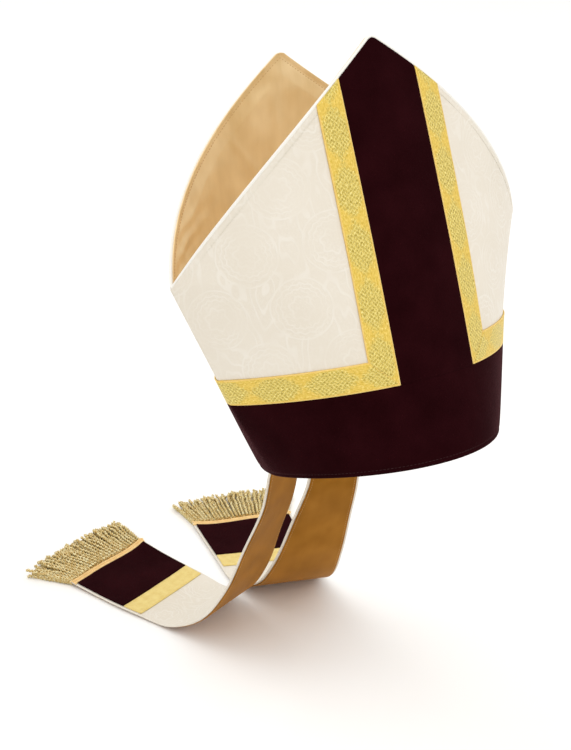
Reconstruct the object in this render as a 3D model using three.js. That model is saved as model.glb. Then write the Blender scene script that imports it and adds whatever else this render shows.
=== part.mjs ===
// A bishop's mitre as it is worn: two pointed cloth panels joined at the sides, trimmed with
// velvet and gold galloon, and two lappets that hang from the back and trail on the surface.
// Millimetres, +Z up, the front faces -Y. The origin is the centre of the rim, where a head goes in.

import * as THREE from "three";

// ---------------------------------------------------------------- driving dimensions
const LEAN = THREE.MathUtils.degToRad(17); // the crown tips back on the head by this much
const RIM = { halfWidth: 94, halfDepth: 100.5, pinch: 0.61 };
const TIP = { height: 155.5, halfWidth: 159, halfDepth: 88, pinch: 0.95 };
const PEAK = { height: 308.5, halfWidth: 176, halfDepth: 72, pinch: 1.06 };
const BACK_PEAK_INSET = 18.5; // the back peak stands this much nearer the middle than the front one
const TIP_FORWARD = 7; // both side tips are bent forward by this much
const FLARE_POWER = 0.885; // below 1, the sides flare most just above the rim
const EDGE_BELLY = 4.6; // the slanted edges belly out from a straight line by this much
const PEAK_ROUNDING = 5; // radius of the rounded peak, in the flat panel

const CIRCULUS_HEIGHT = 62;
const TITULUS_HALF_WIDTH = 33.3;
const GALLOON_WIDTH = 20.5;
const PIPING_RADIUS = 1.3;

const PANEL_THICK = 1.6;
const LINING_THICK = 1;
const TRIM_THICK = 1;
const LAYER_GAP = 0.3;
const SEAM_GAP = 0.4;
const PARTED = { apart: SEAM_GAP / 2 }; // front pieces move forward, back ones back, by this

const LAPPET_FACE_THICK = 1.5;
const LAPPET_TURNED_EDGE = 2; // the face cloth shows this wide beyond the lining and the bands
const SURFACE_BELOW = 250; // the lappets trail on a level surface this far below the rim's centre
const LAPPET_YAW = THREE.MathUtils.degToRad(20); // the cross line of a lappet, seen from above
const GOLD_BAND_LENGTH = 21;
const VELVET_BAND_LENGTH = 63;
const BRAID_LENGTH = 7;
const FRINGE_LENGTH = 47;
const FRINGE_THICK = 9;
const FRINGE_SPREAD = 15; // each end of the fringe spreads past the lappet by this much

// The centre line of a lappet's underside, from inside the back of the rim down to the surface
// it trails on: distance to the side, behind and below the origin, and half the width there.
const LAPPET_ROWS = [
  { aside: 26.3, behind: 85.6, below: 9, half: 20.5 },
  { aside: 26.3, behind: 81.8, below: 27, half: 20.8 },
  { aside: 26.3, behind: 89.5, below: 49, half: 21 },
  { aside: 27.3, behind: 98.5, below: 88, half: 22.5 },
  { aside: 30.0, behind: 119, below: 134, half: 26.5 },
  { aside: 32.5, behind: 142, below: 184, half: 31 },
  { aside: 37.5, behind: 171, below: 224.5, half: 36 },
  { aside: 44.5, behind: 209, below: 247, half: 42 },
  { aside: 50.5, behind: 234, below: SURFACE_BELOW, half: 44.5 },
  { aside: 59.5, behind: 264, below: SURFACE_BELOW, half: 46.5 },
  { aside: 75.5, behind: 325, below: SURFACE_BELOW, half: 49.5 },
  { aside: 77.5, behind: 332, below: SURFACE_BELOW, half: 49.8 },
];

// Mesh steps: how many cells a panel has across half its width, and the heights of its rows.
const HALF_COLUMNS = 12;
const FRONT = -1;
const BACK = 1;

const CLOTH = {
  damask: { color: 0xece4d3, roughness: 0.62, metalness: 0 },
  satin: { color: 0xdcb884, roughness: 0.38, metalness: 0 },
  velvet: { color: 0x2b0d0f, roughness: 0.95, metalness: 0 },
  galloon: { color: 0xe8ce6a, roughness: 0.45, metalness: 0.35 },
  piping: { color: 0xf2ece0, roughness: 0.6, metalness: 0 },
  goldBand: { color: 0xfee787, roughness: 0.45, metalness: 0.2 },
  braid: { color: 0xe6bd84, roughness: 0.5, metalness: 0.2 },
  bullion: { color: 0xd4b779, roughness: 0.4, metalness: 0.5 },
};

// ---------------------------------------------------------------- the crown's surface
const { clamp, lerp, smoothstep } = THREE.MathUtils;

function halfWidthAt(height) {
  if (height > TIP.height) {
    return lerp(TIP.halfWidth, PEAK.halfWidth, (height - TIP.height) / (PEAK.height - TIP.height));
  }
  const rise = Math.max(height, 0) / TIP.height;
  return RIM.halfWidth + (TIP.halfWidth - RIM.halfWidth) * rise ** FLARE_POWER;
}

// A parabola through the depths at the rim, the side tips and the peak.
function halfDepthAt(side, height) {
  const toTip = (TIP.halfDepth - RIM.halfDepth) / TIP.height;
  const toPeak = (PEAK.halfDepth - RIM.halfDepth) / PEAK.height;
  const bend = (toPeak - toTip) / (PEAK.height - TIP.height);
  const depth = RIM.halfDepth + (toTip - bend * TIP.height) * height + bend * height * height;
  if (side === FRONT) return depth;
  const above = clamp((height - TIP.height) / (PEAK.height - TIP.height), 0, 1);
  return depth - BACK_PEAK_INSET * above ** 1.5;
}

// How pointed the sides of a section are: 0.5 is an ellipse, 1 and more a lens.
function pinchAt(height) {
  if (height < TIP.height) return lerp(RIM.pinch, TIP.pinch, Math.max(height, 0) / TIP.height);
  return lerp(TIP.pinch, PEAK.pinch, (height - TIP.height) / (PEAK.height - TIP.height));
}

function sectionPoint(side, height, angle) {
  const x = halfWidthAt(height) * Math.sin(angle);
  const bulge = Math.max(Math.cos(angle), 0) ** (2 * pinchAt(height));
  const forward = TIP_FORWARD * (x / TIP.halfWidth) ** 2 * clamp(height / TIP.height, 0, 1);
  return new THREE.Vector3(x, side * halfDepthAt(side, height) * bulge - forward, height);
}

// Half a section as points with their distance from the centre line, measured on the cloth.
const SECTION_STEPS = 160;
const sections = new Map();
function sectionAt(side, height) {
  const key = side + ":" + height.toFixed(3);
  if (!sections.has(key)) {
    const points = [sectionPoint(side, height, 0)];
    const distances = [0];
    for (let i = 1; i <= SECTION_STEPS; i++) {
      const point = sectionPoint(side, height, (i / SECTION_STEPS) * (Math.PI / 2));
      distances.push(distances[i - 1] + point.distanceTo(points[i - 1]));
      points.push(point);
    }
    sections.set(key, { points, distances });
  }
  return sections.get(key);
}

function halfGirth(side, height) {
  return sectionAt(side, height).distances[SECTION_STEPS];
}

// The place on the crown of a point of the flat panel: across from the centre line, and up.
function onCrown(side, across, height) {
  const { points, distances } = sectionAt(side, height);
  const distance = Math.min(Math.abs(across), distances[SECTION_STEPS]);
  let i = 1;
  while (distances[i] < distance) i++;
  const part = (distance - distances[i - 1]) / (distances[i] - distances[i - 1]);
  const point = points[i - 1].clone().lerp(points[i], part);
  point.x *= Math.sign(across) || 1;
  return point;
}

function crownNormal(side, across, height) {
  const step = 2;
  const reach = halfGirth(side, height) - step;
  const u = clamp(across, -reach, reach);
  const acrossStep = onCrown(side, u + step, height).sub(onCrown(side, u - step, height));
  const upStep = onCrown(side, u, height + step).sub(onCrown(side, u, height - step));
  const normal = acrossStep.cross(upStep).normalize();
  return side === FRONT ? normal : normal.negate();
}

// Where front and back meet, both are offset along the seam's own plane, as a mitre joint is.
// Above the side tips this fades out, and the two panels part.
const SEAM_FADE = 30;
function offsetDirection(side, across, height) {
  const normal = crownNormal(side, across, height);
  const reach = Math.abs(across) / edgeAt(side, height);
  const atSeam = smoothstep(reach, 0.9, 1) * (1 - smoothstep(height, TIP.height, TIP.height + SEAM_FADE));
  if (atSeam === 0) return normal;
  const mitred = new THREE.Vector3(normal.x, 0, normal.z);
  mitred.divideScalar(mitred.lengthSq());
  return normal.lerp(mitred, atSeam);
}

// Half the width of a flat panel: the girth up to the side tips, then the slanted edges.
function edgeAt(side, height) {
  if (height <= TIP.height) return halfGirth(side, height);
  const base = halfGirth(side, TIP.height);
  const rise = PEAK.height - TIP.height;
  const part = (height - TIP.height) / rise;
  const slanted = base * (1 - part) + 4 * EDGE_BELLY * part * (1 - part);
  const slope = (base + 4 * EDGE_BELLY) / rise; // width lost for each millimetre up, at the peak
  const centre = PEAK.height - (PEAK_ROUNDING * Math.hypot(1, slope)) / slope;
  const tangent = centre + (PEAK_ROUNDING * slope) / Math.hypot(1, slope);
  if (height < tangent) return slanted;
  return Math.sqrt(Math.max(PEAK_ROUNDING ** 2 - (height - centre) ** 2, 0));
}

// The height at which a slanted edge crosses a line that runs up the panel.
function edgeHeightAt(side, across) {
  let low = TIP.height;
  let high = peakTop(side);
  for (let i = 0; i < 40; i++) {
    const middle = (low + high) / 2;
    if (edgeAt(side, middle) > across) low = middle;
    else high = middle;
  }
  return low;
}

function peakTop(side) {
  const base = halfGirth(side, TIP.height);
  const slope = (base + 4 * EDGE_BELLY) / (PEAK.height - TIP.height);
  return PEAK.height - (PEAK_ROUNDING * Math.hypot(1, slope)) / slope + PEAK_ROUNDING * 0.985;
}

function placeOnCrown({ side, across, height }) {
  const point = onCrown(side, across, height);
  const normal = offsetDirection(side, across, height);
  const atSeam = Math.abs(across) >= edgeAt(side, height) - 0.01 && height <= TIP.height;
  return { point, normal, side, atSeam };
}

// ---------------------------------------------------------------- solids
// A closed sheet of cloth: a grid of places, thickened from one offset to another.
function sheetGeometry(grid, inner, outer, { ring = false, apart = 0 } = {}) {
  const rows = grid.length;
  const columns = grid[0].length;
  const positions = [];
  for (const offset of [outer, inner]) {
    for (const row of grid) {
      row.forEach((place) => {
        const at = place.point.clone().addScaledVector(place.normal, offset);
        if (apart) at.y += place.side * apart;
        positions.push(at.x, at.y, at.z);
      });
    }
  }
  const index = [];
  const outerAt = (r, c) => r * columns + (c % columns);
  const innerAt = (r, c) => rows * columns + outerAt(r, c);
  const quad = (a, b, c, d) => index.push(a, b, c, a, c, d);
  const cells = ring ? columns : columns - 1;
  for (let c = 0; c < cells; c++) {
    for (let r = 0; r < rows - 1; r++) {
      quad(outerAt(r, c), outerAt(r, c + 1), outerAt(r + 1, c + 1), outerAt(r + 1, c));
      quad(innerAt(r, c), innerAt(r + 1, c), innerAt(r + 1, c + 1), innerAt(r, c + 1));
    }
    quad(innerAt(0, c), innerAt(0, c + 1), outerAt(0, c + 1), outerAt(0, c));
    quad(outerAt(rows - 1, c), outerAt(rows - 1, c + 1), innerAt(rows - 1, c + 1), innerAt(rows - 1, c));
  }
  if (!ring) {
    const last = columns - 1;
    for (let r = 0; r < rows - 1; r++) {
      quad(outerAt(r, 0), outerAt(r + 1, 0), innerAt(r + 1, 0), innerAt(r, 0));
      quad(innerAt(r, last), innerAt(r + 1, last), outerAt(r + 1, last), outerAt(r, last));
    }
  }
  return facingOut(positions, index);
}

// Turns the faces round if the closed surface encloses a negative volume.
function facingOut(positions, index) {
  const corner = (i) => new THREE.Vector3().fromArray(positions, 3 * i);
  let volume = 0;
  for (let i = 0; i < index.length; i += 3) {
    volume += corner(index[i]).dot(corner(index[i + 1]).cross(corner(index[i + 2])));
  }
  const geometry = new THREE.BufferGeometry();
  geometry.setAttribute("position", new THREE.Float32BufferAttribute(positions, 3));
  geometry.setIndex(volume < 0 ? index.reverse() : index);
  geometry.computeVertexNormals();
  return geometry;
}

// A round cord through stations that give its centre and two directions across it.
const CORD_SIDES = 6;
function cordGeometry(stations, radius) {
  const positions = [];
  for (const { centre, right, up } of stations) {
    for (let i = 0; i < CORD_SIDES; i++) {
      const angle = (2 * Math.PI * i) / CORD_SIDES;
      const at = centre.clone().addScaledVector(right, radius * Math.cos(angle));
      at.addScaledVector(up, radius * Math.sin(angle));
      positions.push(at.x, at.y, at.z);
    }
  }
  const index = [];
  const at = (ring, i) => ring * CORD_SIDES + (i % CORD_SIDES);
  const last = stations.length - 1;
  for (let ring = 0; ring < last; ring++) {
    for (let i = 0; i < CORD_SIDES; i++) {
      index.push(at(ring, i), at(ring, i + 1), at(ring + 1, i + 1));
      index.push(at(ring, i), at(ring + 1, i + 1), at(ring + 1, i));
    }
  }
  for (let i = 1; i < CORD_SIDES - 1; i++) {
    index.push(at(0, 0), at(0, i + 1), at(0, i));
    index.push(at(last, 0), at(last, i), at(last, i + 1));
  }
  return facingOut(positions, index);
}

function steps(from, to, count) {
  return Array.from({ length: count + 1 }, (_, i) => lerp(from, to, i / count));
}

const group = new THREE.Group();
const crown = new THREE.Group();
crown.rotation.x = -LEAN;
group.add(crown);

function addMesh(parent, name, geometry, cloth) {
  const mesh = new THREE.Mesh(geometry, new THREE.MeshStandardMaterial(CLOTH[cloth]));
  mesh.name = name;
  parent.add(mesh);
}

// ---------------------------------------------------------------- panels and linings
// Heights of the rows of a panel: fixed ones below the tips, then closer together at the peak.
const GALLOON_TOP = CIRCULUS_HEIGHT + GALLOON_WIDTH;
function rowHeights(side, bottom) {
  const top = peakTop(side);
  const round = edgeHeightAt(side, PEAK_ROUNDING);
  return [
    bottom,
    CIRCULUS_HEIGHT / 2,
    CIRCULUS_HEIGHT,
    GALLOON_TOP,
    ...steps(GALLOON_TOP, TIP.height, 2).slice(1),
    ...steps(TIP.height, round, 6).slice(1),
    lerp(round, top, 0.6),
    top,
  ];
}

function panelGrid(side, heights, margin) {
  return heights.map((height) => {
    const reach = Math.max(edgeAt(side, height) - (height > TIP.height ? margin : 0), 1);
    return steps(side * reach, -side * reach, 2 * HALF_COLUMNS).map((across) =>
      placeOnCrown({ side, across, height }),
    );
  });
}

function addPanel(side, name) {
  const grid = panelGrid(side, rowHeights(side, 0.8), 0);
  const geometry = sheetGeometry(grid, -PANEL_THICK, 0, PARTED);
  addMesh(crown, name, geometry, "damask");
}

function addLining(side, name) {
  const grid = panelGrid(side, rowHeights(side, 2), 0.8);
  const outer = -PANEL_THICK - LAYER_GAP;
  const geometry = sheetGeometry(grid, outer - LINING_THICK, outer, PARTED);
  addMesh(crown, name, geometry, "satin");
}

// ---------------------------------------------------------------- velvet bands of the crown
const TRIM_INNER = LAYER_GAP;
const TRIM_OUTER = TRIM_INNER + TRIM_THICK;

// The ring round the base, on the same columns as the two panels under it.
function addCirculus() {
  const grid = [0, CIRCULUS_HEIGHT / 2, CIRCULUS_HEIGHT].map((height) => {
    const half = (side) => {
      const reach = edgeAt(side, height);
      const across = steps(side * reach, -side * reach, 2 * HALF_COLUMNS).slice(0, -1);
      return across.map((u) => placeOnCrown({ side, across: u, height }));
    };
    return [...half(FRONT), ...half(BACK)];
  });
  grid.forEach((row) => row.forEach((place) => (place.side = place.atSeam ? 0 : place.side)));
  const layers = { ring: true, ...PARTED };
  addMesh(crown, "circulus", sheetGeometry(grid, TRIM_INNER, TRIM_OUTER, layers), "velvet");
}

function addTitulus(side, name) {
  const bottom = CIRCULUS_HEIGHT + LAYER_GAP;
  const shoulder = edgeHeightAt(side, TITULUS_HALF_WIDTH);
  const round = edgeHeightAt(side, PEAK_ROUNDING);
  const top = peakTop(side);
  const heights = [
    ...steps(bottom, shoulder, 9),
    ...steps(shoulder, round, 3).slice(1),
    lerp(round, top, 0.6),
    top,
  ];
  const grid = heights.map((height) => {
    const reach = Math.max(Math.min(TITULUS_HALF_WIDTH, edgeAt(side, height)), 1);
    return steps(-reach, reach, 6).map((across) => placeOnCrown({ side, across, height }));
  });
  addMesh(crown, name, sheetGeometry(grid, TRIM_INNER, TRIM_OUTER, PARTED), "velvet");
}

// ---------------------------------------------------------------- gold galloon
// One L-shaped length: down beside the titulus, mitred at the corner, then along the circulus
// to the side seam. Each station is a pair of points, on the inner and on the outer selvedge.
function addGalloon(side, hand, name) {
  const inner = TITULUS_HALF_WIDTH + LAYER_GAP;
  const outer = TITULUS_HALF_WIDTH + GALLOON_WIDTH;
  const low = CIRCULUS_HEIGHT + LAYER_GAP;
  const innerTop = edgeHeightAt(side, inner);
  const outerTop = edgeHeightAt(side, outer);
  const upright = steps(0, 1, 10).map((part) => [
    { across: inner, height: lerp(innerTop, low, part) },
    { across: outer, height: lerp(outerTop, GALLOON_TOP, part) },
  ]);
  const onColumn = (part) => [
    { across: part * edgeAt(side, low), height: low },
    { across: part * edgeAt(side, GALLOON_TOP), height: GALLOON_TOP },
  ];
  const columns = steps(0, 1, HALF_COLUMNS).filter((part) => part * edgeAt(side, low) > outer);
  const corner = upright.at(-1);
  const first = onColumn(columns[0]);
  const turn = steps(0, 1, 3).slice(1, -1).map((part) =>
    corner.map((from, i) => ({
      across: lerp(from.across, first[i].across, part),
      height: from.height,
    })),
  );
  const along = [...turn, ...columns.map(onColumn)];
  const grid = [...upright, ...along].map(([from, to]) =>
    steps(0, 1, 2).map((part) =>
      placeOnCrown({
        side,
        across: hand * lerp(from.across, to.across, part),
        height: lerp(from.height, to.height, part),
      }),
    ),
  );
  addMesh(crown, name, sheetGeometry(grid, TRIM_INNER, TRIM_OUTER, PARTED), "galloon");
}

// ---------------------------------------------------------------- piping on the slanted edges
function addPiping(side, name) {
  const start = TIP.height + 4;
  const top = peakTop(side);
  const round = edgeHeightAt(side, PEAK_ROUNDING);
  const rise = [...steps(start, round, 15), lerp(round, top, 0.6)];
  const edge = [
    ...rise.map((height) => ({ across: -edgeAt(side, height), height })),
    { across: 0, height: top },
    ...rise.reverse().map((height) => ({ across: edgeAt(side, height), height })),
  ];
  const places = edge.map(({ across, height }) => placeOnCrown({ side, across, height }));
  const stations = places.map(({ point, normal }, i) => {
    const before = places[Math.max(i - 1, 0)].point;
    const after = places[Math.min(i + 1, places.length - 1)].point;
    const up = normal.clone().normalize();
    const right = up.clone().cross(after.clone().sub(before)).normalize().multiplyScalar(-side);
    const centre = point.clone().addScaledVector(right, PIPING_RADIUS + LAYER_GAP);
    centre.addScaledVector(up, -PANEL_THICK / 2);
    centre.y += (side * SEAM_GAP) / 2;
    return { centre, right, up };
  });
  addMesh(crown, name, cordGeometry(stations, PIPING_RADIUS), "piping");
}

// ---------------------------------------------------------------- lappets
// The wearer's right lappet is on the -X side; the left one mirrors it.
const lappetLine = new THREE.CatmullRomCurve3(
  LAPPET_ROWS.map((row) => new THREE.Vector3(-row.aside, row.behind, -row.below)),
  false,
  "centripetal",
);
lappetLine.arcLengthDivisions = 600;
const LAPPET_LENGTH = lappetLine.getLength();
const LAPPET_ACROSS = new THREE.Vector3(Math.cos(LAPPET_YAW), Math.sin(LAPPET_YAW), 0);

function lappetHalfAt(part) {
  const place = lappetLine.getUtoTmapping(part) * (LAPPET_ROWS.length - 1);
  const row = Math.min(Math.floor(place), LAPPET_ROWS.length - 2);
  return lerp(LAPPET_ROWS[row].half, LAPPET_ROWS[row + 1].half, place - row);
}

function placeOnLappet(along, reach, inset) {
  const part = clamp(along / LAPPET_LENGTH, 0, 1);
  const half = lappetHalfAt(part) - inset;
  const tangent = lappetLine.getTangentAt(part);
  const normal = LAPPET_ACROSS.clone().cross(tangent).normalize();
  const point = lappetLine.getPointAt(part).addScaledVector(LAPPET_ACROSS, reach * half);
  point.z = Math.max(point.z, -SURFACE_BELOW);
  return { point, normal };
}

function lappetSheet(from, to, rows, columns, inset, inner, outer) {
  const grid = steps(from, to, rows).map((along) =>
    steps(-1, 1, columns).map((reach) => placeOnLappet(along, reach, inset)),
  );
  return sheetGeometry(grid, inner, outer);
}

// The fringe lies beyond the braid: a wedge that thickens and spreads outwards.
function fringeGeometry(start) {
  const away = new THREE.Vector3(-LAPPET_ACROSS.y, LAPPET_ACROSS.x, 0);
  const positions = [];
  const sides = 8;
  for (const { out, thick } of [
    { out: 0.5, thick: FRINGE_THICK * 0.6 },
    { out: FRINGE_LENGTH * 0.5, thick: FRINGE_THICK },
    { out: FRINGE_LENGTH, thick: FRINGE_THICK * 0.75 },
  ]) {
    const part = out / FRINGE_LENGTH;
    const half = lappetHalfAt(1) + FRINGE_SPREAD * part;
    const middle = start.clone().addScaledVector(away, out);
    for (let i = 0; i <= sides; i++) {
      const reach = (2 * i) / sides - 1;
      const belly = part * 6 * (1 - reach * reach);
      const at = middle.clone().addScaledVector(LAPPET_ACROSS, reach * half);
      at.addScaledVector(away, belly);
      positions.push({ low: at, thick: thick * (1 - 0.35 * reach ** 4) });
    }
  }
  const columns = sides + 1;
  const grid = [0, 1, 2].map((row) =>
    positions.slice(row * columns, (row + 1) * columns).map(({ low, thick }) => ({
      point: low,
      normal: new THREE.Vector3(0, 0, thick),
    })),
  );
  return sheetGeometry(grid, 0, 1);
}

function mirrored(geometry) {
  const positions = Array.from(geometry.getAttribute("position").array);
  for (let i = 0; i < positions.length; i += 3) positions[i] *= -1;
  return facingOut(positions, Array.from(geometry.getIndex().array));
}

function addLappet(hand, name) {
  const faceInner = LINING_THICK + LAYER_GAP;
  const faceOuter = faceInner + LAPPET_FACE_THICK;
  const bandInner = faceOuter + LAYER_GAP;
  const bandOuter = bandInner + TRIM_THICK;
  const end = LAPPET_LENGTH;
  const velvetEnd = end - BRAID_LENGTH;
  const velvetStart = velvetEnd - VELVET_BAND_LENGTH;
  const goldStart = velvetStart - GOLD_BAND_LENGTH;
  const edge = LAPPET_TURNED_EDGE;
  const pieces = [
    { part: "lining", cloth: "satin", geometry: lappetSheet(0, end - 1, 26, 2, edge, 0, LINING_THICK) },
    { part: "face", cloth: "damask", geometry: lappetSheet(0, end, 26, 2, 0, faceInner, faceOuter) },
    {
      part: "gold_band",
      cloth: "goldBand",
      geometry: lappetSheet(goldStart, velvetStart - LAYER_GAP, 3, 2, edge, bandInner, bandOuter),
    },
    {
      part: "velvet_band",
      cloth: "velvet",
      geometry: lappetSheet(velvetStart, velvetEnd - LAYER_GAP, 4, 2, edge, bandInner, bandOuter),
    },
    {
      part: "braid",
      cloth: "braid",
      geometry: lappetSheet(velvetEnd, end, 1, 2, 0, bandInner, bandOuter + 0.6),
    },
    { part: "fringe", cloth: "bullion", geometry: fringeGeometry(lappetLine.getPointAt(1)) },
  ];
  for (const { part, cloth, geometry } of pieces) {
    addMesh(group, name + "_" + part, hand < 0 ? geometry : mirrored(geometry), cloth);
  }
}

// ---------------------------------------------------------------- assembly
for (const [side, name] of [[FRONT, "front"], [BACK, "back"]]) {
  addPanel(side, name + "_panel");
  addLining(side, name + "_lining");
  addTitulus(side, name + "_titulus");
  addGalloon(side, -1, name + "_right_galloon");
  addGalloon(side, 1, name + "_left_galloon");
  addPiping(side, name + "_piping");
}
addCirculus();
addLappet(-1, "right_lappet");
addLappet(1, "left_lappet");

export default group;
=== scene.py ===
# %% [markdown]
# # A bishop's mitre
# Two stiff, pointed cloth panels stand on a round base and part above the ears. Velvet bands and
# gold galloon are sewn on them, gold satin lines them, and two lappets hang from the back and
# trail on a surface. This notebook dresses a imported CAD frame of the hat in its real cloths.
# Everything is in metres, +Z up, the front faces -Y, and the origin is the centre of the rim.

# %% Load the frame
import functools
import math

import bpy
import numpy as np
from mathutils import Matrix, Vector, noise


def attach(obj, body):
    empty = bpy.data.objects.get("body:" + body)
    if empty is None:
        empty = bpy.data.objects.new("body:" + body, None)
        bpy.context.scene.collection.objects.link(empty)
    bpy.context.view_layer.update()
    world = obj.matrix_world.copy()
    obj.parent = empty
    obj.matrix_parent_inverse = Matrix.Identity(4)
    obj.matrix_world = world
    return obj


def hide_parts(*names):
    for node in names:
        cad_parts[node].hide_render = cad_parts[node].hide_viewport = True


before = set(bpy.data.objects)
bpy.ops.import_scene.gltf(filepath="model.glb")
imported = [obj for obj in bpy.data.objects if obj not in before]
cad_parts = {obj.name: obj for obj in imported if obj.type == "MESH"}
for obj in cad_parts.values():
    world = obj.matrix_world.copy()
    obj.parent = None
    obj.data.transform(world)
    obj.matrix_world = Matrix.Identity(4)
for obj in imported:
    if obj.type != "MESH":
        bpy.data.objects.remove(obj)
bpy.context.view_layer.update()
MM = 0.001
TAU = 2 * math.pi
scene = bpy.context.scene

# %% [markdown]
# ## The camera
# A camera can be placed by hand, but for a product view it is clearer to say where it stands:
# how far round the object, how far above it, how far away, and what point it looks at. A long
# lens keeps the hat's proportions. We turn those four values into a position and an aim.

# %% Camera
CAMERA_ROUND = math.radians(-33.4)
CAMERA_ABOVE = math.radians(24.75)
CAMERA_AWAY = 1.25
CAMERA_AIM = Vector((-0.072, 0.022, 0.069))
LENS = 79.9


def direction(round_angle, above_angle):
    """Unit vector from an object to a viewer who stands round it and above it by these angles."""
    level = math.cos(above_angle)
    return Vector((math.sin(round_angle) * level, -math.cos(round_angle) * level, math.sin(above_angle)))


camera = bpy.data.objects.new("camera", bpy.data.cameras.new("camera"))
scene.collection.objects.link(camera)
towards_viewer = direction(CAMERA_ROUND, CAMERA_ABOVE)
camera.location = CAMERA_AIM + towards_viewer * CAMERA_AWAY
camera.rotation_euler = towards_viewer.to_track_quat("Z", "Y").to_euler()
camera.data.lens = LENS
camera.data.sensor_width = 36
scene.camera = camera
print("camera at", [round(c, 3) for c in camera.location])

# %% [markdown]
# ## Node helpers
# A procedural material is a sum done at every point of a surface, and Blender draws each step of
# the sum as a node. Writing every node and link by hand is long, so helpers keep it short:
# `add_node` makes a node and fills its inputs, and `Number` lets Python's + - * / make Math nodes.
# The others each place one kind of node that most materials need.

# %% Node helpers


def plug(tree, socket, value):
    """Links a socket or a Number to an input, or sets the input to a constant."""
    if isinstance(value, Number):
        value = value.socket
    if isinstance(value, bpy.types.NodeSocket):
        tree.links.new(value, socket)
    else:
        socket.default_value = value


def add_node(tree, kind, inputs=None, **settings):
    made = tree.nodes.new(kind)
    for name, value in settings.items():
        setattr(made, name, value)
    for key, value in (inputs or {}).items():
        plug(tree, made.inputs[key], value)
    return made


class Number:
    """A number that changes over the cloth. Arithmetic on it adds Math nodes to its tree."""

    def __init__(self, tree, socket):
        self.tree, self.socket = tree, socket

    def math(self, operation, *others):
        made = add_node(self.tree, "ShaderNodeMath", operation=operation)
        for socket, value in zip(made.inputs, (self, *others)):
            plug(self.tree, socket, value)
        return Number(self.tree, made.outputs[0])

    def __add__(self, other):
        return self.math("ADD", other)

    def __sub__(self, other):
        return self.math("SUBTRACT", other)

    def __mul__(self, other):
        return self.math("MULTIPLY", other)

    def __truediv__(self, other):
        return self.math("DIVIDE", other)

    def sin(self):
        return self.math("SINE")

    def abs(self):
        return self.math("ABSOLUTE")

    def least(self, other):
        return self.math("MINIMUM", other)

    def most(self, other):
        return self.math("MAXIMUM", other)

    def repeat(self, pitch):
        """Distance from the nearest multiple of pitch, from -pitch/2 to pitch/2."""
        return (self + pitch / 2).math("FLOORED_MODULO", pitch) - pitch / 2

    def fade(self, low, high):
        """0 at low and 1 at high, straight between, and held beyond."""
        made = add_node(self.tree, "ShaderNodeMapRange", {"Value": self, 1: low, 2: high})
        return Number(self.tree, made.outputs[0])


def new_group(name, inputs, outputs):
    """A shader node group. inputs and outputs are {socket name: "Float", "Vector" or "Color"}."""
    tree = bpy.data.node_groups.new(name, "ShaderNodeTree")
    for in_out, sockets in (("INPUT", inputs), ("OUTPUT", outputs)):
        for socket, kind in sockets.items():
            tree.interface.new_socket(socket, in_out=in_out, socket_type="NodeSocket" + kind)
    return tree, tree.nodes.new("NodeGroupInput").outputs, tree.nodes.new("NodeGroupOutput")


def mask_of(tree, group, place, **sizes):
    """The mask or height that a shared group puts out at these coordinates."""
    made = add_node(tree, "ShaderNodeGroup", node_tree=group)
    for key, value in (sizes | {"Place": place}).items():
        plug(tree, made.inputs[key], value)
    return Number(tree, made.outputs[0])


def noise_at(tree, place, scale, detail=2.0):
    made = add_node(tree, "ShaderNodeTexNoise", {"Vector": place, "Scale": scale, "Detail": detail})
    return Number(tree, made.outputs[0])


def stretched(tree, place, scale):
    return add_node(tree, "ShaderNodeMapping", {"Vector": place, "Scale": scale}).outputs[0]


def vector_math(tree, operation, *values):
    made = add_node(tree, "ShaderNodeVectorMath", operation=operation)
    sockets = (made.inputs[0], made.inputs["Scale"]) if operation == "SCALE" else made.inputs
    for socket, value in zip(sockets, values):
        plug(tree, socket, value)
    return made.outputs["Value" if operation == "LENGTH" else "Vector"]


def split(tree, vector):
    parts = add_node(tree, "ShaderNodeSeparateXYZ", {0: vector}).outputs
    return Number(tree, parts[0]), Number(tree, parts[1])


def blend_colors(tree, share, first, second):
    """The first colour where share is 0, the second where it is 1, and a blend between."""
    made = add_node(tree, "ShaderNodeMix", data_type="RGBA")
    for socket, value in zip((made.inputs[0], made.inputs[6], made.inputs[7]), (share, first, second)):
        plug(tree, socket, (*value, 1) if isinstance(value, tuple) else value)
    return made.outputs[2]


# %% [markdown]
# ## Shared cloth effects
# Three effects are wanted by several cloths, so each is a node group, built once:
# a **weave** (threads that pass over and under each other), an **uneven** cloudiness that stops
# any dyed cloth from being one flat colour, and a **fuzz** of fine fibres. A group puts out only
# masks and heights. Every material then decides what to do with them.

# %% Shared node groups
weave, given, result = new_group("weave", {"Place": "Vector", "Thread": "Float"}, {"Height": "Float"})
across, along = split(weave, given[0])
thread = Number(weave, given[1])
warp = (across / thread * math.pi).sin()
weft = (along / thread * math.pi).sin()
plug(weave, result.inputs[0], (warp * weft).fade(-1, 1))

uneven, given, result = new_group(
    "uneven", {"Place": "Vector", "Size": "Float", "Detail": "Float"}, {"Mask": "Float"}
)
clouds_a_metre = Number(uneven, given[1]).math("POWER", -1.0)
plug(uneven, result.inputs[0], noise_at(uneven, given[0], clouds_a_metre, given[2]).fade(0.3, 0.7))

fuzz, given, result = new_group("fuzz", {"Place": "Vector", "Fibre": "Float"}, {"Height": "Float"})
fibres_a_metre = Number(fuzz, given[1]).math("POWER", -1.0)
tips = add_node(fuzz, "ShaderNodeTexVoronoi", {"Vector": given[0], "Scale": fibres_a_metre})
strays = noise_at(fuzz, given[0], fibres_a_metre * 0.4, 3.0)
plug(fuzz, result.inputs[0], Number(fuzz, tips.outputs[0]) * 0.6 + strays)
print("node groups:", [g.name for g in bpy.data.node_groups])

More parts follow.
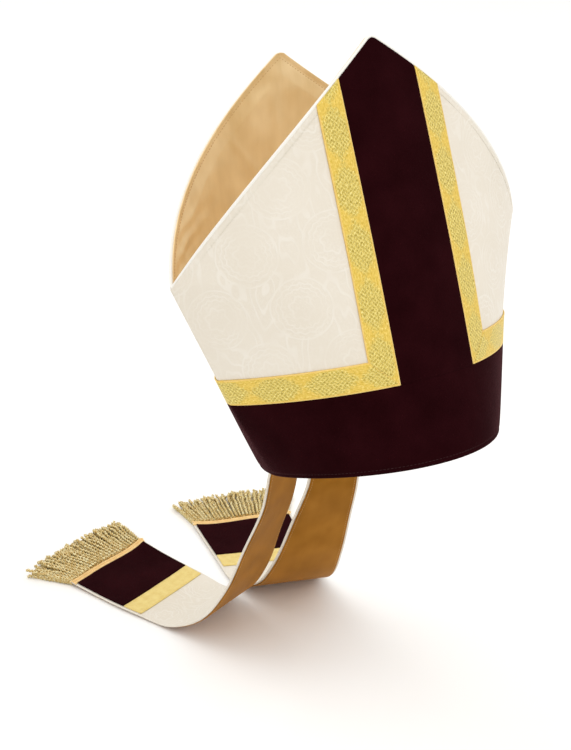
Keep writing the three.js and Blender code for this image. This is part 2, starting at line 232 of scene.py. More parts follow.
# %% [markdown]
# ## A material to start from
# All the cloths use the Principled shader. `cloth_material` makes one and sets the values that are
# the same everywhere (sheen, specular) straight on it. `dress` joins what changes over the cloth:
# its colour, its roughness, and a height that a Bump node turns into relief.


# %% Material helper
def cloth_material(name, **constants):
    made = bpy.data.materials.new(name)
    made.use_nodes = True
    shader = made.node_tree.nodes["Principled BSDF"]
    for key, value in constants.items():
        shader.inputs[key.replace("_", " ")].default_value = value
    return made, made.node_tree, shader


def coordinates(tree, kind):
    """The piece's own cloth coordinates in metres ("UV"), or the place in the frame ("Object")."""
    return add_node(tree, "ShaderNodeTexCoord").outputs[kind]


def dress(tree, shader, color, roughness, height, distance):
    bump = add_node(tree, "ShaderNodeBump", {"Strength": 1.0, "Distance": distance, "Height": height})
    for name, value in (("Base Color", color), ("Roughness", roughness), ("Normal", bump.outputs[0])):
        plug(tree, shader.inputs[name], value)


# %% [markdown]
# ## Ivory damask
# Damask is woven in one colour: the figure shows because its threads lie shiny and the ground's
# lie matt. A painted image could carry the figure, but a rule is sharper at every distance. Here
# round lace medallions stand in staggered rows, drawn from the distance to the nearest one, and
# flames fill the ground: they are the contour lines of a noise that is stretched upwards. Another
# noise lets the figure come and go, as it does when light falls across the cloth.

# %% Damask figure
MEDALLION_ASIDE = 62 * MM
MEDALLION_UP = 86 * MM
MEDALLION_RADIUS = 20.5 * MM

figure, given, result = new_group("damask figure", {"Place": "Vector"}, {"Mask": "Float"})
drift = add_node(figure, "ShaderNodeTexNoise", {"Vector": given[0], "Scale": 38.0, "Detail": 1.0})
centred = vector_math(figure, "SUBTRACT", drift.outputs["Color"], (0.5, 0.5, 0.5))
nudge = vector_math(figure, "SCALE", centred, 4 * MM)
across, along = split(figure, vector_math(figure, "ADD", given[0], nudge))
first = (across.repeat(MEDALLION_ASIDE), along.repeat(MEDALLION_UP))
second = (
    (across + MEDALLION_ASIDE / 2).repeat(MEDALLION_ASIDE),
    (along + MEDALLION_UP / 2).repeat(MEDALLION_UP),
)
reach = [(x * x + y * y).math("SQRT") for x, y in (first, second)]
second_is_near = reach[1].math("LESS_THAN", reach[0])
near_x = first[0] + (second[0] - first[0]) * second_is_near
near_y = first[1] + (second[1] - first[1]) * second_is_near
distance = reach[0].least(reach[1])
turn = near_y.math("ARCTAN2", near_x)
speckle = noise_at(figure, given[0], 420.0, 1.0).fade(0.48, 0.6)
scalloped = distance + (turn * 16.0).sin() * (0.5 * MM)
rings = (scalloped * (TAU / (3.4 * MM))).sin().fade(0.2, 0.9)
petals = ((turn * 6.0).sin() * (1.1 * MM) + distance - 8 * MM).abs().fade(1.2 * MM, 0.5 * MM)
outer_band = (distance - 16 * MM).abs().fade(4.6 * MM, 3.8 * MM)
lace = (rings * outer_band).most(petals).most(speckle * 0.55)
hills = noise_at(figure, stretched(figure, given[0], (36, 15, 1)), 1.0)
flames = (hills * (TAU * 11)).sin().fade(0.35, 0.95).most(speckle * 0.3)
inside = distance.fade(MEDALLION_RADIUS + 0.5 * MM, MEDALLION_RADIUS - 0.5 * MM)
rim_ring = (distance - MEDALLION_RADIUS - 1.6 * MM).abs().fade(0.9 * MM, 0.4 * MM)
clear = noise_at(figure, given[0], 45.0).fade(0.36, 0.62) * 0.8 + 0.2
plug(figure, result.inputs[0], (flames + (lace - flames) * inside).most(rim_ring) * clear)

damask, tree, shader = cloth_material(
    "ivory_damask", Sheen_Weight=0.16, Sheen_Roughness=0.3, Specular_IOR_Level=0.45
)
cloth = coordinates(tree, "UV")
pattern = mask_of(tree, figure, cloth)
threads = mask_of(tree, weave, cloth, Thread=0.45 * MM)
cloudy = mask_of(tree, uneven, cloth, Size=55 * MM, Detail=3.0)
ground = blend_colors(tree, cloudy * 0.7 + threads * 0.3, (0.725, 0.66, 0.552), (0.775, 0.715, 0.615))
# Painted sheen: the figure's colour is lighter than the ground's, standing in for the shine of its threads;
# the figure itself is woven pattern.
figured = blend_colors(tree, pattern * 0.52, ground, (0.83, 0.785, 0.705))
matt = pattern * -0.2 + threads * 0.08 + 0.6
dress(tree, shader, figured, matt, pattern * 0.7 + threads * 0.4, 0.14 * MM)
print("ivory_damask:", len(tree.nodes), "nodes, and", len(figure.nodes), "in its figure")

# %% [markdown]
# ## Gold satin
# The lining is satin: long floats of thread all lie one way, so it shines in streaks. Very fine
# ribs in the bump give the streaks, a cloudy colour paints their sheen as lighter and darker
# patches, and a low roughness gives the shine. Down its length the colour is painted from shade to
# light, as light falls on it. The lappets' strip is a darker copy of it, painted for the shade it
# hangs in, so a function makes both.


# %% Satin
def satin_material(name, dark, light, sheen, specular, metallic, shaded_at, lit_at):
    made, tree, shader = cloth_material(
        name, Sheen_Weight=sheen, Sheen_Roughness=0.3, Specular_IOR_Level=specular, Metallic=metallic
    )
    cloth = coordinates(tree, "UV")
    across, along = split(tree, cloth)
    floats = (across * (TAU / (0.7 * MM))).sin().fade(-1, 1)
    streaks = mask_of(tree, uneven, stretched(tree, cloth, (1, 0.25, 1)), Size=9 * MM, Detail=4.0)
    cloudy = mask_of(tree, uneven, cloth, Size=38 * MM, Detail=2.0)
    # Painted light and shade: the colour gets lighter down the cloth where more light falls, and the cloudy,
    # streaky share paints the satin's sheen as lighter and darker patches.
    painted_light_ramp = along.fade(shaded_at, lit_at)
    color_mix = blend_colors(tree, cloudy * 0.45 + streaks * 0.15 + painted_light_ramp * 0.4, dark, light)
    dress(tree, shader, color_mix, cloudy * 0.12 + 0.28, floats * 0.3 + streaks * 0.15, 0.08 * MM)
    return made


satin = satin_material(
    "gold_satin", (0.66, 0.455, 0.195), (1.0, 0.81, 0.50), 0.03, 0.45, 0.2, 290 * MM, 150 * MM
)
# Painted shade: the lappets' lining is a darker, more orange copy of the same satin, for the shade it hangs
# in.
shaded_lappet_satin = satin_material(
    "shade_darkened_gold_satin", (0.225, 0.09, 0.009), (0.46, 0.205, 0.034), 0.0, 0.0, 0.35, 100 * MM, 230 * MM
)
print("gold_satin:", len(satin.node_tree.nodes), "nodes")

# %% [markdown]
# ## Maroon velvet
# Velvet is a brush of short upright threads. Seen from above it swallows light and looks nearly
# black; seen across, its tips catch light. The Sheen inputs do just that, and a fuzz of fibres
# breaks the surface up. Slow clouds show where the pile has been stroked.

# %% Velvet
velvet, tree, shader = cloth_material(
    "maroon_velvet",
    Sheen_Weight=0.17,
    Sheen_Roughness=0.28,
    Sheen_Tint=(0.75, 0.3, 0.34, 1),
    Specular_IOR_Level=0.02,
)
place = coordinates(tree, "Object")
pile = mask_of(tree, fuzz, place, Fibre=0.55 * MM)
stroked = mask_of(tree, uneven, place, Size=30 * MM, Detail=3.0)
color_mix = blend_colors(tree, stroked * 0.5 + pile * 0.4, (0.0080, 0.0005, 0.0010), (0.022, 0.0028, 0.0042))
dress(tree, shader, color_mix, pile * 0.1 + 0.85, pile + stroked * 0.8, 0.25 * MM)
print("maroon_velvet:", len(tree.nodes), "nodes")

# %% [markdown]
# ## Gold galloon
# Galloon is a woven ribbon of gold thread. Its design repeats along the ribbon: large lozenges
# hold a fine lattice of pale threads over darker cells, and plain rich gold lies between them and
# along both edges. All of it comes from two coordinates: how far along the ribbon, and across it.

# %% Galloon
GALLOON_WIDTH = 20.5 * MM
LOZENGE_PITCH = 41 * MM
LATTICE_PITCH = 3.1 * MM

galloon, tree, shader = cloth_material(
    "gold_galloon", Metallic=0.4, Specular_IOR_Level=0.3, Sheen_Weight=0.05, Sheen_Roughness=0.3
)
cloth = coordinates(tree, "UV")
along, across = split(tree, cloth)
middle = across - GALLOON_WIDTH / 2
lozenge = along.repeat(LOZENGE_PITCH).abs() / (20 * MM) + middle.abs() / (15 * MM)
frayed = mask_of(tree, uneven, cloth, Size=2.4 * MM, Detail=2.0)
border = middle.abs().fade(8.2 * MM, 9.2 * MM)
latticed = (lozenge + (frayed - 0.5) * 0.3).fade(1.16, 0.86) * (border * -1 + 1)


def lattice_line(value):
    """1 on thin lines a lattice pitch apart."""
    return value.repeat(LATTICE_PITCH).abs().fade(0.62 * MM, 0.3 * MM)


lines = lattice_line(along + middle).most(lattice_line(along - middle))
ribs = (along * (TAU / (0.62 * MM))).sin().fade(-1, 1)
twill = ((along + across * 1.6) * (TAU / (1.5 * MM))).sin().fade(-1, 1)
glitter = mask_of(tree, uneven, stretched(tree, cloth, (0.55, 1, 1)), Size=1.1 * MM, Detail=3.0)
worn = mask_of(tree, uneven, cloth, Size=12 * MM, Detail=3.0)
# Painted sparkle: the glitter noise sets the tone of the cells and the plain gold, partly the threads' own
# tone and partly painted glints.
cells = blend_colors(tree, glitter, (0.33, 0.23, 0.015), (0.90, 0.71, 0.17))
lattice = blend_colors(tree, lines * (glitter * 0.6 + 0.25), cells, (1.0, 0.88, 0.34))
plain = blend_colors(tree, glitter * 0.7 + twill * 0.2, (0.62, 0.40, 0.03), (1.0, 0.76, 0.20))
woven = blend_colors(tree, latticed * 0.85, plain, lattice)
# Painted highlights: the glitter's peaks get pale gold glints.
shown = blend_colors(tree, glitter.fade(0.8, 1.0) * 0.5, woven, (1.0, 0.93, 0.50))
edged = blend_colors(tree, middle.abs().fade(9.0 * MM, 9.4 * MM) * 0.7, shown, (0.88, 0.60, 0.14))
relief = latticed * lines * 0.9 + ribs * 0.25 + twill * 0.35 + glitter * 0.9
dress(tree, shader, edged, glitter * 0.16 + worn * 0.08 + 0.34, relief, 0.3 * MM)
print("gold_galloon:", len(tree.nodes), "nodes")

# %% [markdown]
# ## The other cloths and threads
# The piping is plain ivory cloth, the band on each lappet's tail is a plain ribbed gold cloth, and
# the braid and the sewing threads are all twisted thread. The threads differ only in colour and
# shine, so one function makes them all. The fringe's bullion gets painted shade in its grooves and
# a painted highlight on its crests: its mesh will carry a `crest` attribute that says which is which.

# %% Piping, plain gold cloth and threads
piping_cloth, tree, shader = cloth_material("ivory_piping", Sheen_Weight=0.1, Sheen_Roughness=0.4)
place = coordinates(tree, "Object")
nap = mask_of(tree, fuzz, place, Fibre=0.5 * MM)
color_mix = blend_colors(tree, nap, (0.77, 0.735, 0.66), (0.87, 0.845, 0.785))
dress(tree, shader, color_mix, nap * 0.1 + 0.5, nap, 0.08 * MM)

gold_cloth, tree, shader = cloth_material("plain_gold_cloth", Metallic=0.15, Sheen_Weight=0.15)
cloth = coordinates(tree, "UV")
ribs = (split(tree, cloth)[1] * (TAU / (0.95 * MM))).sin().fade(-1, 1)
cloudy = mask_of(tree, uneven, cloth, Size=6 * MM, Detail=4.0)
color_mix = blend_colors(tree, cloudy * 0.6 + ribs * 0.4, (0.77, 0.55, 0.125), (0.90, 0.73, 0.27))
dress(tree, shader, color_mix, cloudy * 0.1 + 0.42, ribs + cloudy * 0.4, 0.15 * MM)


def thread_material(name, dark, light, metallic, roughness, sheen=0.1):
    made, tree, shader = cloth_material(name, Metallic=metallic, Sheen_Weight=sheen)
    place = coordinates(tree, "Object")
    fibres = mask_of(tree, fuzz, place, Fibre=0.35 * MM)
    patchy = mask_of(tree, uneven, place, Size=5 * MM, Detail=3.0)
    color_mix = blend_colors(tree, fibres * 0.5 + patchy * 0.4, dark, light)
    dress(tree, shader, color_mix, fibres * 0.12 + roughness, fibres, 0.08 * MM)
    return made


ivory_thread = thread_material("ivory_thread", (0.62, 0.58, 0.47), (0.80, 0.76, 0.65), 0.0, 0.5)
ochre_thread = thread_material("ochre_thread", (0.40, 0.20, 0.06), (0.62, 0.36, 0.13), 0.0, 0.45)
maroon_thread = thread_material("maroon_thread", (0.016, 0.002, 0.003), (0.045, 0.009, 0.011), 0.0, 0.8, 0.03)
gold_thread = thread_material("gold_thread", (0.74, 0.45, 0.09), (0.98, 0.76, 0.30), 0.35, 0.36)
braid_thread = thread_material("gold_braid", (0.74, 0.45, 0.14), (0.98, 0.73, 0.35), 0.25, 0.42)

bullion, tree, shader = cloth_material("gold_bullion", Metallic=0.15, Specular_IOR_Level=0.5, Roughness=0.3)
crest = Number(tree, add_node(tree, "ShaderNodeAttribute", attribute_name="crest").outputs["Fac"])
glints = mask_of(tree, uneven, coordinates(tree, "Object"), Size=1.8 * MM, Detail=2.0)
# Painted shade and highlight: the grooves between the lobes are dark and the crests bright, and the glints
# add painted sparkle.
crest_highlight_groove_shade = blend_colors(tree, crest, (0.40, 0.21, 0.028), (1.0, 0.80, 0.34))
lit = blend_colors(tree, glints.fade(0.45, 0.75) * 0.7, crest_highlight_groove_shade, (1.0, 0.93, 0.58))
plug(tree, shader.inputs["Base Color"], lit)
print("materials:", len(bpy.data.materials))

# %% [markdown]
# ## Cloth as a mesh
# Every flat piece of the hat is cloth with a real thickness. A Solidify modifier could thicken a
# surface, but here the places of both faces are known by rule, so the mesh is written directly:
# a grid for the outer face, a grid for the inner one, and a rounded edge that joins them. Each
# corner also stores its place on the flat cloth, in metres, for the patterns.


# %% Cloth mesh helper
def border_of(rows, columns):
    """The border of a grid as a loop of (row, column)."""
    top, right = rows - 1, columns - 1
    loop = [(0, c) for c in range(right)] + [(r, right) for r in range(top)]
    return loop + [(top, c) for c in range(right, 0, -1)] + [(r, 0) for r in range(top, 0, -1)]


def cloth_mesh(name, outer, inner, flat, material, ring=False):
    """A closed cloth piece from two grids of points. flat is a grid of UVs, or one for each row of
    cells. The edge stands out by half the thickness, so it looks rounded."""
    rows, columns = outer.shape[:2]
    count = rows * columns
    cells = columns if ring else columns - 1

    def at(r, c):
        return r * columns + c % columns

    if ring:
        loops = [[(r, c) for c in range(columns)] for r in (0, rows - 1)]
    else:
        loops = [border_of(rows, columns)]
    points = [outer.reshape(-1, 3), inner.reshape(-1, 3)]
    faces = []
    for r in range(rows - 1):
        for c in range(cells):
            quad = [at(r, c), at(r, c + 1), at(r + 1, c + 1), at(r + 1, c)]
            faces += [quad, [count + i for i in reversed(quad)]]
    start = 2 * count
    for loop in loops:
        middles = []
        for r, c in loop:
            r_in, c_in = min(max(r, 1), rows - 2), c if ring else min(max(c, 1), columns - 2)
            outward = (outer[r, c] + inner[r, c]) - (outer[r_in, c_in] + inner[r_in, c_in])
            outward /= max(np.linalg.norm(outward), 1e-9)
            half = np.linalg.norm(outer[r, c] - inner[r, c]) / 2
            middles.append((outer[r, c] + inner[r, c]) / 2 + outward * half)
        points.append(np.array(middles))
        for i, (r, c) in enumerate(loop):
            j = (i + 1) % len(loop)
            a, b, m, n = at(r, c), at(*loop[j]), start + i, start + j
            band = [[b, a, m, n], [n, m, count + a, count + b]]
            if ring and r == 0 or not ring:
                faces += band
            else:
                faces += [list(reversed(face)) for face in band]
        start += len(loop)
    points = np.concatenate(points)
    on_edge = [at(r, c) for loop in loops for r, c in loop]
    source = np.concatenate([np.arange(count), np.arange(count), on_edge]).astype(int)
    mesh = bpy.data.meshes.new(name)
    mesh.from_pydata(points.tolist(), [], faces)
    mesh.polygons.foreach_set("use_smooth", np.ones(len(faces), bool))
    flat = flat if isinstance(flat, list) else [flat] * (rows - 1)
    layer = mesh.uv_layers.new(name="cloth")
    corners = np.empty(len(mesh.loops), int)
    mesh.loops.foreach_get("vertex_index", corners)
    row_of_face = np.empty(len(faces), int)
    done = 2 * (rows - 1) * cells
    row_of_face[:done] = np.repeat(np.arange(rows - 1), 2 * cells)
    row_of_face[done:] = [min(r, rows - 2) for loop in loops for r, c in loop for _ in range(2)]
    tables = np.stack([f.reshape(-1, 2) for f in flat])
    places = tables[np.repeat(row_of_face, 4), source[corners]]
    layer.data.foreach_set("uv", places.astype(np.float32).ravel())
    made = finished(name, mesh, material)
    a, b, c, d = (points[[face[i] for face in faces]] for i in range(4))
    volume = (a * (np.cross(b, c) + np.cross(c, d))).sum()
    if volume < 0:  # the faces point inwards
        mesh.flip_normals()
    return made


def finished(name, mesh, material):
    """Puts a mesh in the scene as a piece at the origin, with one material."""
    made = bpy.data.objects.new(name, mesh)
    scene.collection.objects.link(made)
    mesh.materials.clear()
    mesh.materials.append(material)
    return made


def belongs(piece, slot, *nodes):
    """Rides the piece on the frame and hides the CAD nodes it stands for. The slot is not used."""
    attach(piece, "root")
    if nodes:
        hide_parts(*nodes)
    print(f"{piece.name}: {len(piece.data.polygons)} faces")
    return piece


# %% [markdown]
# ## The shape of the crown
# Every level section of the crown is an ellipse that grows more pointed at the sides higher up,
# and wider too: `half_width`, `half_depth` and `pinch` say how. Sewn things follow the cloth and
# not the axes, so a place on the crown is given as a tailor would: how far **across** the flat
# cloth from the centre line, and how **high** up it. `on_crown` turns that into a point.

# %% Crown sizes
LEAN = math.radians(17)
RIM_HALF_WIDTH, RIM_HALF_DEPTH, RIM_PINCH = 94 * MM, 100.5 * MM, 0.61
TIP_HEIGHT, TIP_HALF_WIDTH, TIP_HALF_DEPTH, TIP_PINCH = 155.5 * MM, 159 * MM, 88 * MM, 0.95
PEAK_HEIGHT, PEAK_HALF_WIDTH, PEAK_HALF_DEPTH, PEAK_PINCH = 308.5 * MM, 176 * MM, 72 * MM, 1.06
BACK_PEAK_INSET = 18.5 * MM
TIP_FORWARD = 7 * MM
FLARE_POWER = 0.885
EDGE_BELLY = 4.6 * MM
PEAK_ROUNDING = 5 * MM
ROUNDED_PART = 0.985  # the panel ends this share of the rounding above its centre
CIRCULUS_HEIGHT = 62 * MM
TITULUS_HALF_WIDTH = 33.3 * MM
PANEL_THICK = 1.6 * MM
LINING_THICK = 1.0 * MM
TRIM_THICK = 1.2 * MM
UNDERSIDE = 0.06 * MM  # a trim's back lies this far off the cloth below it
FRONT, BACK = -1, 1
SIDES = ((FRONT, "front"), (BACK, "back"))
HANDS = ((-1, "right"), (1, "left"))


def half_width(height):
    if height > TIP_HEIGHT:
        part = (height - TIP_HEIGHT) / (PEAK_HEIGHT - TIP_HEIGHT)
        return TIP_HALF_WIDTH + (PEAK_HALF_WIDTH - TIP_HALF_WIDTH) * part
    rise = max(height, 0) / TIP_HEIGHT
    return RIM_HALF_WIDTH + (TIP_HALF_WIDTH - RIM_HALF_WIDTH) * rise**FLARE_POWER


def half_depth(side, height):
    to_tip = (TIP_HALF_DEPTH - RIM_HALF_DEPTH) / TIP_HEIGHT
    to_peak = (PEAK_HALF_DEPTH - RIM_HALF_DEPTH) / PEAK_HEIGHT
    bend = (to_peak - to_tip) / (PEAK_HEIGHT - TIP_HEIGHT)
    depth = RIM_HALF_DEPTH + (to_tip - bend * TIP_HEIGHT) * height + bend * height**2
    above = min(max((height - TIP_HEIGHT) / (PEAK_HEIGHT - TIP_HEIGHT), 0), 1)
    return depth - (BACK_PEAK_INSET * above**1.5 if side == BACK else 0)


def pinch(height):
    levels = (0, TIP_HEIGHT, PEAK_HEIGHT, 2 * PEAK_HEIGHT - TIP_HEIGHT)
    return float(np.interp(height, levels, (RIM_PINCH, TIP_PINCH, PEAK_PINCH, 2 * PEAK_PINCH - TIP_PINCH)))


# %% [markdown]
# A section's length has no simple formula, so it is measured: 240 short steps along the curve,
# added up. Reading that table backwards gives the point a given distance across the cloth.


# %% Places on the crown
@functools.lru_cache(maxsize=None)
def section(side, height):
    """Half a level section: x, y and the distance along the cloth from the centre line."""
    angle = np.linspace(0, math.pi / 2, 241)
    x = half_width(height) * np.sin(angle)
    bulge = np.maximum(np.cos(angle), 0) ** (2 * pinch(height))
    forward = TIP_FORWARD * (x / TIP_HALF_WIDTH) ** 2 * min(max(height / TIP_HEIGHT, 0), 1)
    y = side * half_depth(side, height) * bulge - forward
    return x, y, np.concatenate([[0], np.cumsum(np.hypot(np.diff(x), np.diff(y)))])


def level_by_level(function, side, across, height):
    """Calls function(side, level, across there) for each different height, and gathers the rows."""
    across, height = np.broadcast_arrays(np.asarray(across, float), np.asarray(height, float))
    levels, which = np.unique(np.round(height.ravel(), 7), return_inverse=True)
    parts = [None] * len(levels)
    made = None
    for i, level in enumerate(levels):
        here = which.ravel() == i
        parts[i] = function(side, float(level), across.ravel()[here])
        if made is None:
            made = np.empty((across.size,) + parts[i].shape[1:])
        made[here] = parts[i]
    return made.reshape(across.shape + made.shape[1:])


def points_at_level(side, level, across):
    x, y, run = section(side, level)
    found_x = np.copysign(np.interp(np.abs(across), run, x), across)
    return np.stack([found_x, np.interp(np.abs(across), run, y), np.full(across.shape, level)], -1)


def on_crown(side, across, height):
    return level_by_level(points_at_level, side, across, height)


def half_girth(side, height):
    return level_by_level(lambda s, level, a: np.full(a.shape, section(s, level)[2][-1]), side, 0, height)


PEAK_RISE = PEAK_HEIGHT - TIP_HEIGHT


def peak_rounding(side):
    """Height of the rounding's centre at the peak, and of the level where it starts."""
    slope = (section(side, TIP_HEIGHT)[2][-1] + 4 * EDGE_BELLY) / PEAK_RISE
    centre = PEAK_HEIGHT - PEAK_ROUNDING * math.hypot(1, slope) / slope
    return centre, centre + PEAK_ROUNDING * slope / math.hypot(1, slope)


def panel_edge(side, height):
    """Half the width of the flat panel: the girth up to the tips, then the slanted edges."""
    height = np.asarray(height, float)
    part = np.clip((height - TIP_HEIGHT) / PEAK_RISE, 0, 1)
    base = section(side, TIP_HEIGHT)[2][-1]
    slanted = base * (1 - part) + 4 * EDGE_BELLY * part * (1 - part)
    centre, start = peak_rounding(side)
    rounded = np.sqrt(np.maximum(PEAK_ROUNDING**2 - (height - centre) ** 2, 0))
    below = half_girth(side, np.minimum(height, TIP_HEIGHT))
    return np.where(height <= TIP_HEIGHT, below, np.where(height < start, slanted, rounded))


def edge_height(side, across):
    """The height at which a slanted edge crosses a line that runs up the panel."""
    low, high = TIP_HEIGHT, peak_top(side)
    for _ in range(30):
        middle = (low + high) / 2
        low, high = (middle, high) if panel_edge(side, middle) > across else (low, middle)
    return low


def peak_top(side):
    return peak_rounding(side)[0] + PEAK_ROUNDING * ROUNDED_PART


def crown_normal(side, across, height):
    """Which way the cloth faces. Near the side seam it turns into the seam's own plane."""
    step = 2 * MM
    within = half_girth(side, height) - step
    u = np.clip(across, -within, within)
    sideways = on_crown(side, u + step, height) - on_crown(side, u - step, height)
    upwards = on_crown(side, u, height + step) - on_crown(side, u, height - step)
    normal = np.cross(sideways, upwards) * -side
    normal /= np.linalg.norm(normal, axis=-1, keepdims=True)
    reach = np.clip((np.abs(across) / np.maximum(panel_edge(side, height), 1 * MM) - 0.9) / 0.1, 0, 1)
    above = np.clip((height - TIP_HEIGHT) / (30 * MM), 0, 1)
    at_seam = (reach**2 * (3 - 2 * reach) * (1 - above**2 * (3 - 2 * above)))[..., None]
    seam = normal * (1, 0, 1)
    seam /= np.maximum((seam**2).sum(-1, keepdims=True), 1e-6)
    return normal * (1 - at_seam) + seam * at_seam


def crown_place(side, across, height, lift):
    """A point in the frame: on the leaning crown, lifted off the cloth by some height."""
    across, height = np.broadcast_arrays(np.asarray(across, float), np.asarray(height, float))
    point = on_crown(side, across, height) + crown_normal(side, across, height) * np.asarray(lift)[..., None]
    x, y, z = np.moveaxis(point, -1, 0)
    lean_y = y * math.cos(LEAN) + z * math.sin(LEAN)
    return np.stack([x, lean_y, z * math.cos(LEAN) - y * math.sin(LEAN)], -1)


def smooth_noise(grid, size, seed):
    """Soft random hills, from about -1 to 1, at each point of a grid given in metres."""
    flat = grid.reshape(-1, grid.shape[-1])
    values = [noise.noise(Vector((p[0] / size, p[1] / size, seed))) for p in flat]
    return np.array(values).reshape(grid.shape[:-1])


for side, name in SIDES:
    widest = float(panel_edge(side, TIP_HEIGHT))
    print(name, "peak", round(peak_top(side), 4), "panel half width", round(widest, 4))

# %% [markdown]
# ## Panels and linings
# A mitre's panel is damask on stiffening, so it keeps one smooth curve. It is a grid whose rows
# run from the rim to the peak. A stitched line, a few millimetres inside the slanted edge, pulls
# the cloth down in a shallow channel. The satin lining is looser: it puckers where it is sewn to
# the edge and creases inwards from there, so its face gets soft waves that fade with distance.

# %% Panel grids
PANEL_COLUMNS = 130
STITCH_INSET = 4.2 * MM
LINING_STITCH_INSET = 2.6 * MM
LINING_OVER_CORD = 1.3 * MM


def panel_rows(side, bottom):
    centre, start = peak_rounding(side)
    first_turn = math.asin(min((start - centre) / PEAK_ROUNDING, 1))
    turn = np.linspace(first_turn, math.asin(ROUNDED_PART), 7)[1:]
    low = np.linspace(bottom, TIP_HEIGHT, 58)
    high = np.linspace(TIP_HEIGHT, start, 60)[1:]
    return np.concatenate([low, high, centre + PEAK_ROUNDING * np.sin(turn)])


def panel_grid(side, bottom, margin):
    height = panel_rows(side, bottom)
    reach = np.maximum(panel_edge(side, height) - np.where(height > TIP_HEIGHT, margin, 0), 1 * MM)
    share = np.linspace(-1, 1, PANEL_COLUMNS + 1)
    share = np.sign(share) * (1 - (1 - np.abs(share)) ** 1.12)  # columns gather towards the edges
    across = reach[:, None] * share[None, :]
    return across, np.broadcast_to(height[:, None], across.shape)


def edge_distance(side, across, height):
    """How far inside the slanted edge a place is, on the cloth."""
    slope = panel_edge(side, TIP_HEIGHT) / PEAK_RISE
    inside = (panel_edge(side, height) - np.abs(across)) / math.hypot(1, slope)
    return np.where(height > TIP_HEIGHT, inside, inside + (TIP_HEIGHT - height))


# %% Panels
panels, linings = {}, {}
for side, name in SIDES:
    across, height = panel_grid(side, 0.8 * MM, 0)
    flat = np.stack([across, height], -1)
    channel = np.exp(-(((edge_distance(side, across, height) - STITCH_INSET) / (1.1 * MM)) ** 2))
    swell = smooth_noise(flat, 45 * MM, 3.0 + side) * 0.35 * MM * np.clip(height / (60 * MM), 0, 1)
    outer = crown_place(side, across, height, swell - channel * 0.3 * MM)
    inner = crown_place(side, across, height, swell - PANEL_THICK)
    panel = cloth_mesh(name + "_panel_cloth", outer, inner, flat, damask)
    panels[name] = belongs(panel, "ivory_damask", name + "_panel")

# %% Linings
for side, name in SIDES:
    across, height = panel_grid(side, 2 * MM, -LINING_OVER_CORD)
    flat = np.stack([across, height], -1)
    inside = edge_distance(side, across, height) + LINING_OVER_CORD
    stretch = 1 + LINING_OVER_CORD / PEAK_RISE
    height = np.where(height > TIP_HEIGHT, TIP_HEIGHT + (height - TIP_HEIGHT) * stretch, height)
    slanting = np.stack([across + 0.5 * height, (height - 0.4 * across) * 0.45], -1)
    past_seam = np.clip((inside - LINING_OVER_CORD - LINING_STITCH_INSET - 1 * MM) / (10 * MM), 0, 1)
    near_tip = np.exp(-(((height - TIP_HEIGHT) / (40 * MM)) ** 2))
    creases = smooth_noise(slanting, 36 * MM, 11.0 + side) * (1.6 + 1.4 * near_tip)
    puckers = smooth_noise(flat * (0.3, 1), 15 * MM, 8.0) * np.exp(-inside / (14 * MM)) * 2.2
    ridges = np.exp(-((smooth_noise(slanting, 48 * MM, 2.0) / 0.1) ** 2)) * (0.5 + near_tip) * 1.1
    at_corner = np.exp(-((inside / (26 * MM)) ** 2) - ((height - TIP_HEIGHT - 22 * MM) / (26 * MM)) ** 2)
    gathers = np.sin((height + 0.35 * np.abs(across)) * (TAU / (13 * MM))) * at_corner * 1.6
    folds = np.clip((creases + puckers - ridges + gathers) * past_seam, -2.4, 1.7) * MM
    folds *= np.clip(height / (20 * MM), 0, 1)
    channel = np.exp(-(((inside - LINING_STITCH_INSET - LINING_OVER_CORD) / (1.2 * MM)) ** 2)) * 0.25 * MM
    outer_lift = -PANEL_THICK - 0.15 * MM
    inner_lift = outer_lift - LINING_THICK - 1.6 * MM * past_seam + folds
    outer = crown_place(side, across, height, outer_lift)
    inner = crown_place(side, across, height, np.minimum(inner_lift + channel, outer_lift - 0.6 * MM))
    lining = cloth_mesh(name + "_lining_cloth", outer, inner, flat, satin)
    linings[name] = belongs(lining, "gold_satin", name + "_lining")

# %% [markdown]
# ## Velvet bands
# The circulus is a ring of velvet round the base, and the titulus a band up the middle of each
# panel to the peak. Velvet is thick and its edges are turned under, so they roll down to the
# damask: the lift falls off in the last two millimetres. The base is hemmed 3 mm above the rim.

# %% Circulus
HEM_HEIGHT = 3.2 * MM


def rolled(inside, roll=2 * MM):
    """The lift of a turned edge: low at the edge, full a little way inside it."""
    part = np.clip(inside / roll, 0, 1)
    return TRIM_THICK * (0.72 + 0.28 * np.sqrt(1 - (1 - part) ** 2))


height = np.concatenate([np.linspace(0, 8, 11), np.linspace(10, 60, 20), [61, 62]]) * MM
columns = np.linspace(-1, 1, 121)[:-1]
rings, inner_rings, flats = [], [], []
for side, order in ((FRONT, columns), (BACK, -columns)):
    reach = panel_edge(side, height)
    across = reach[:, None] * order[None, :]
    level = np.broadcast_to(height[:, None], across.shape)
    flat = np.stack([across, level], -1)
    inside = np.minimum(level, CIRCULUS_HEIGHT - level)
    hem = np.exp(-(((level - HEM_HEIGHT) / (0.7 * MM)) ** 2)) * 0.45 * MM
    gather = smooth_noise(flat * (1, 0.3), 20 * MM, 17.0 + side) * 0.25 * MM
    gather *= np.clip(inside / (8 * MM), 0, 1)
    rings.append(crown_place(side, across, level, rolled(inside) - hem + gather))
    inner_rings.append(crown_place(side, across, level, UNDERSIDE))
    flats.append(flat)
rings, inner_rings, flats = (np.concatenate(halves, 1) for halves in (rings, inner_rings, flats))
circulus = cloth_mesh("circulus_velvet", rings, inner_rings, flats, velvet, ring=True)
belongs(circulus, "maroon_velvet", "circulus")

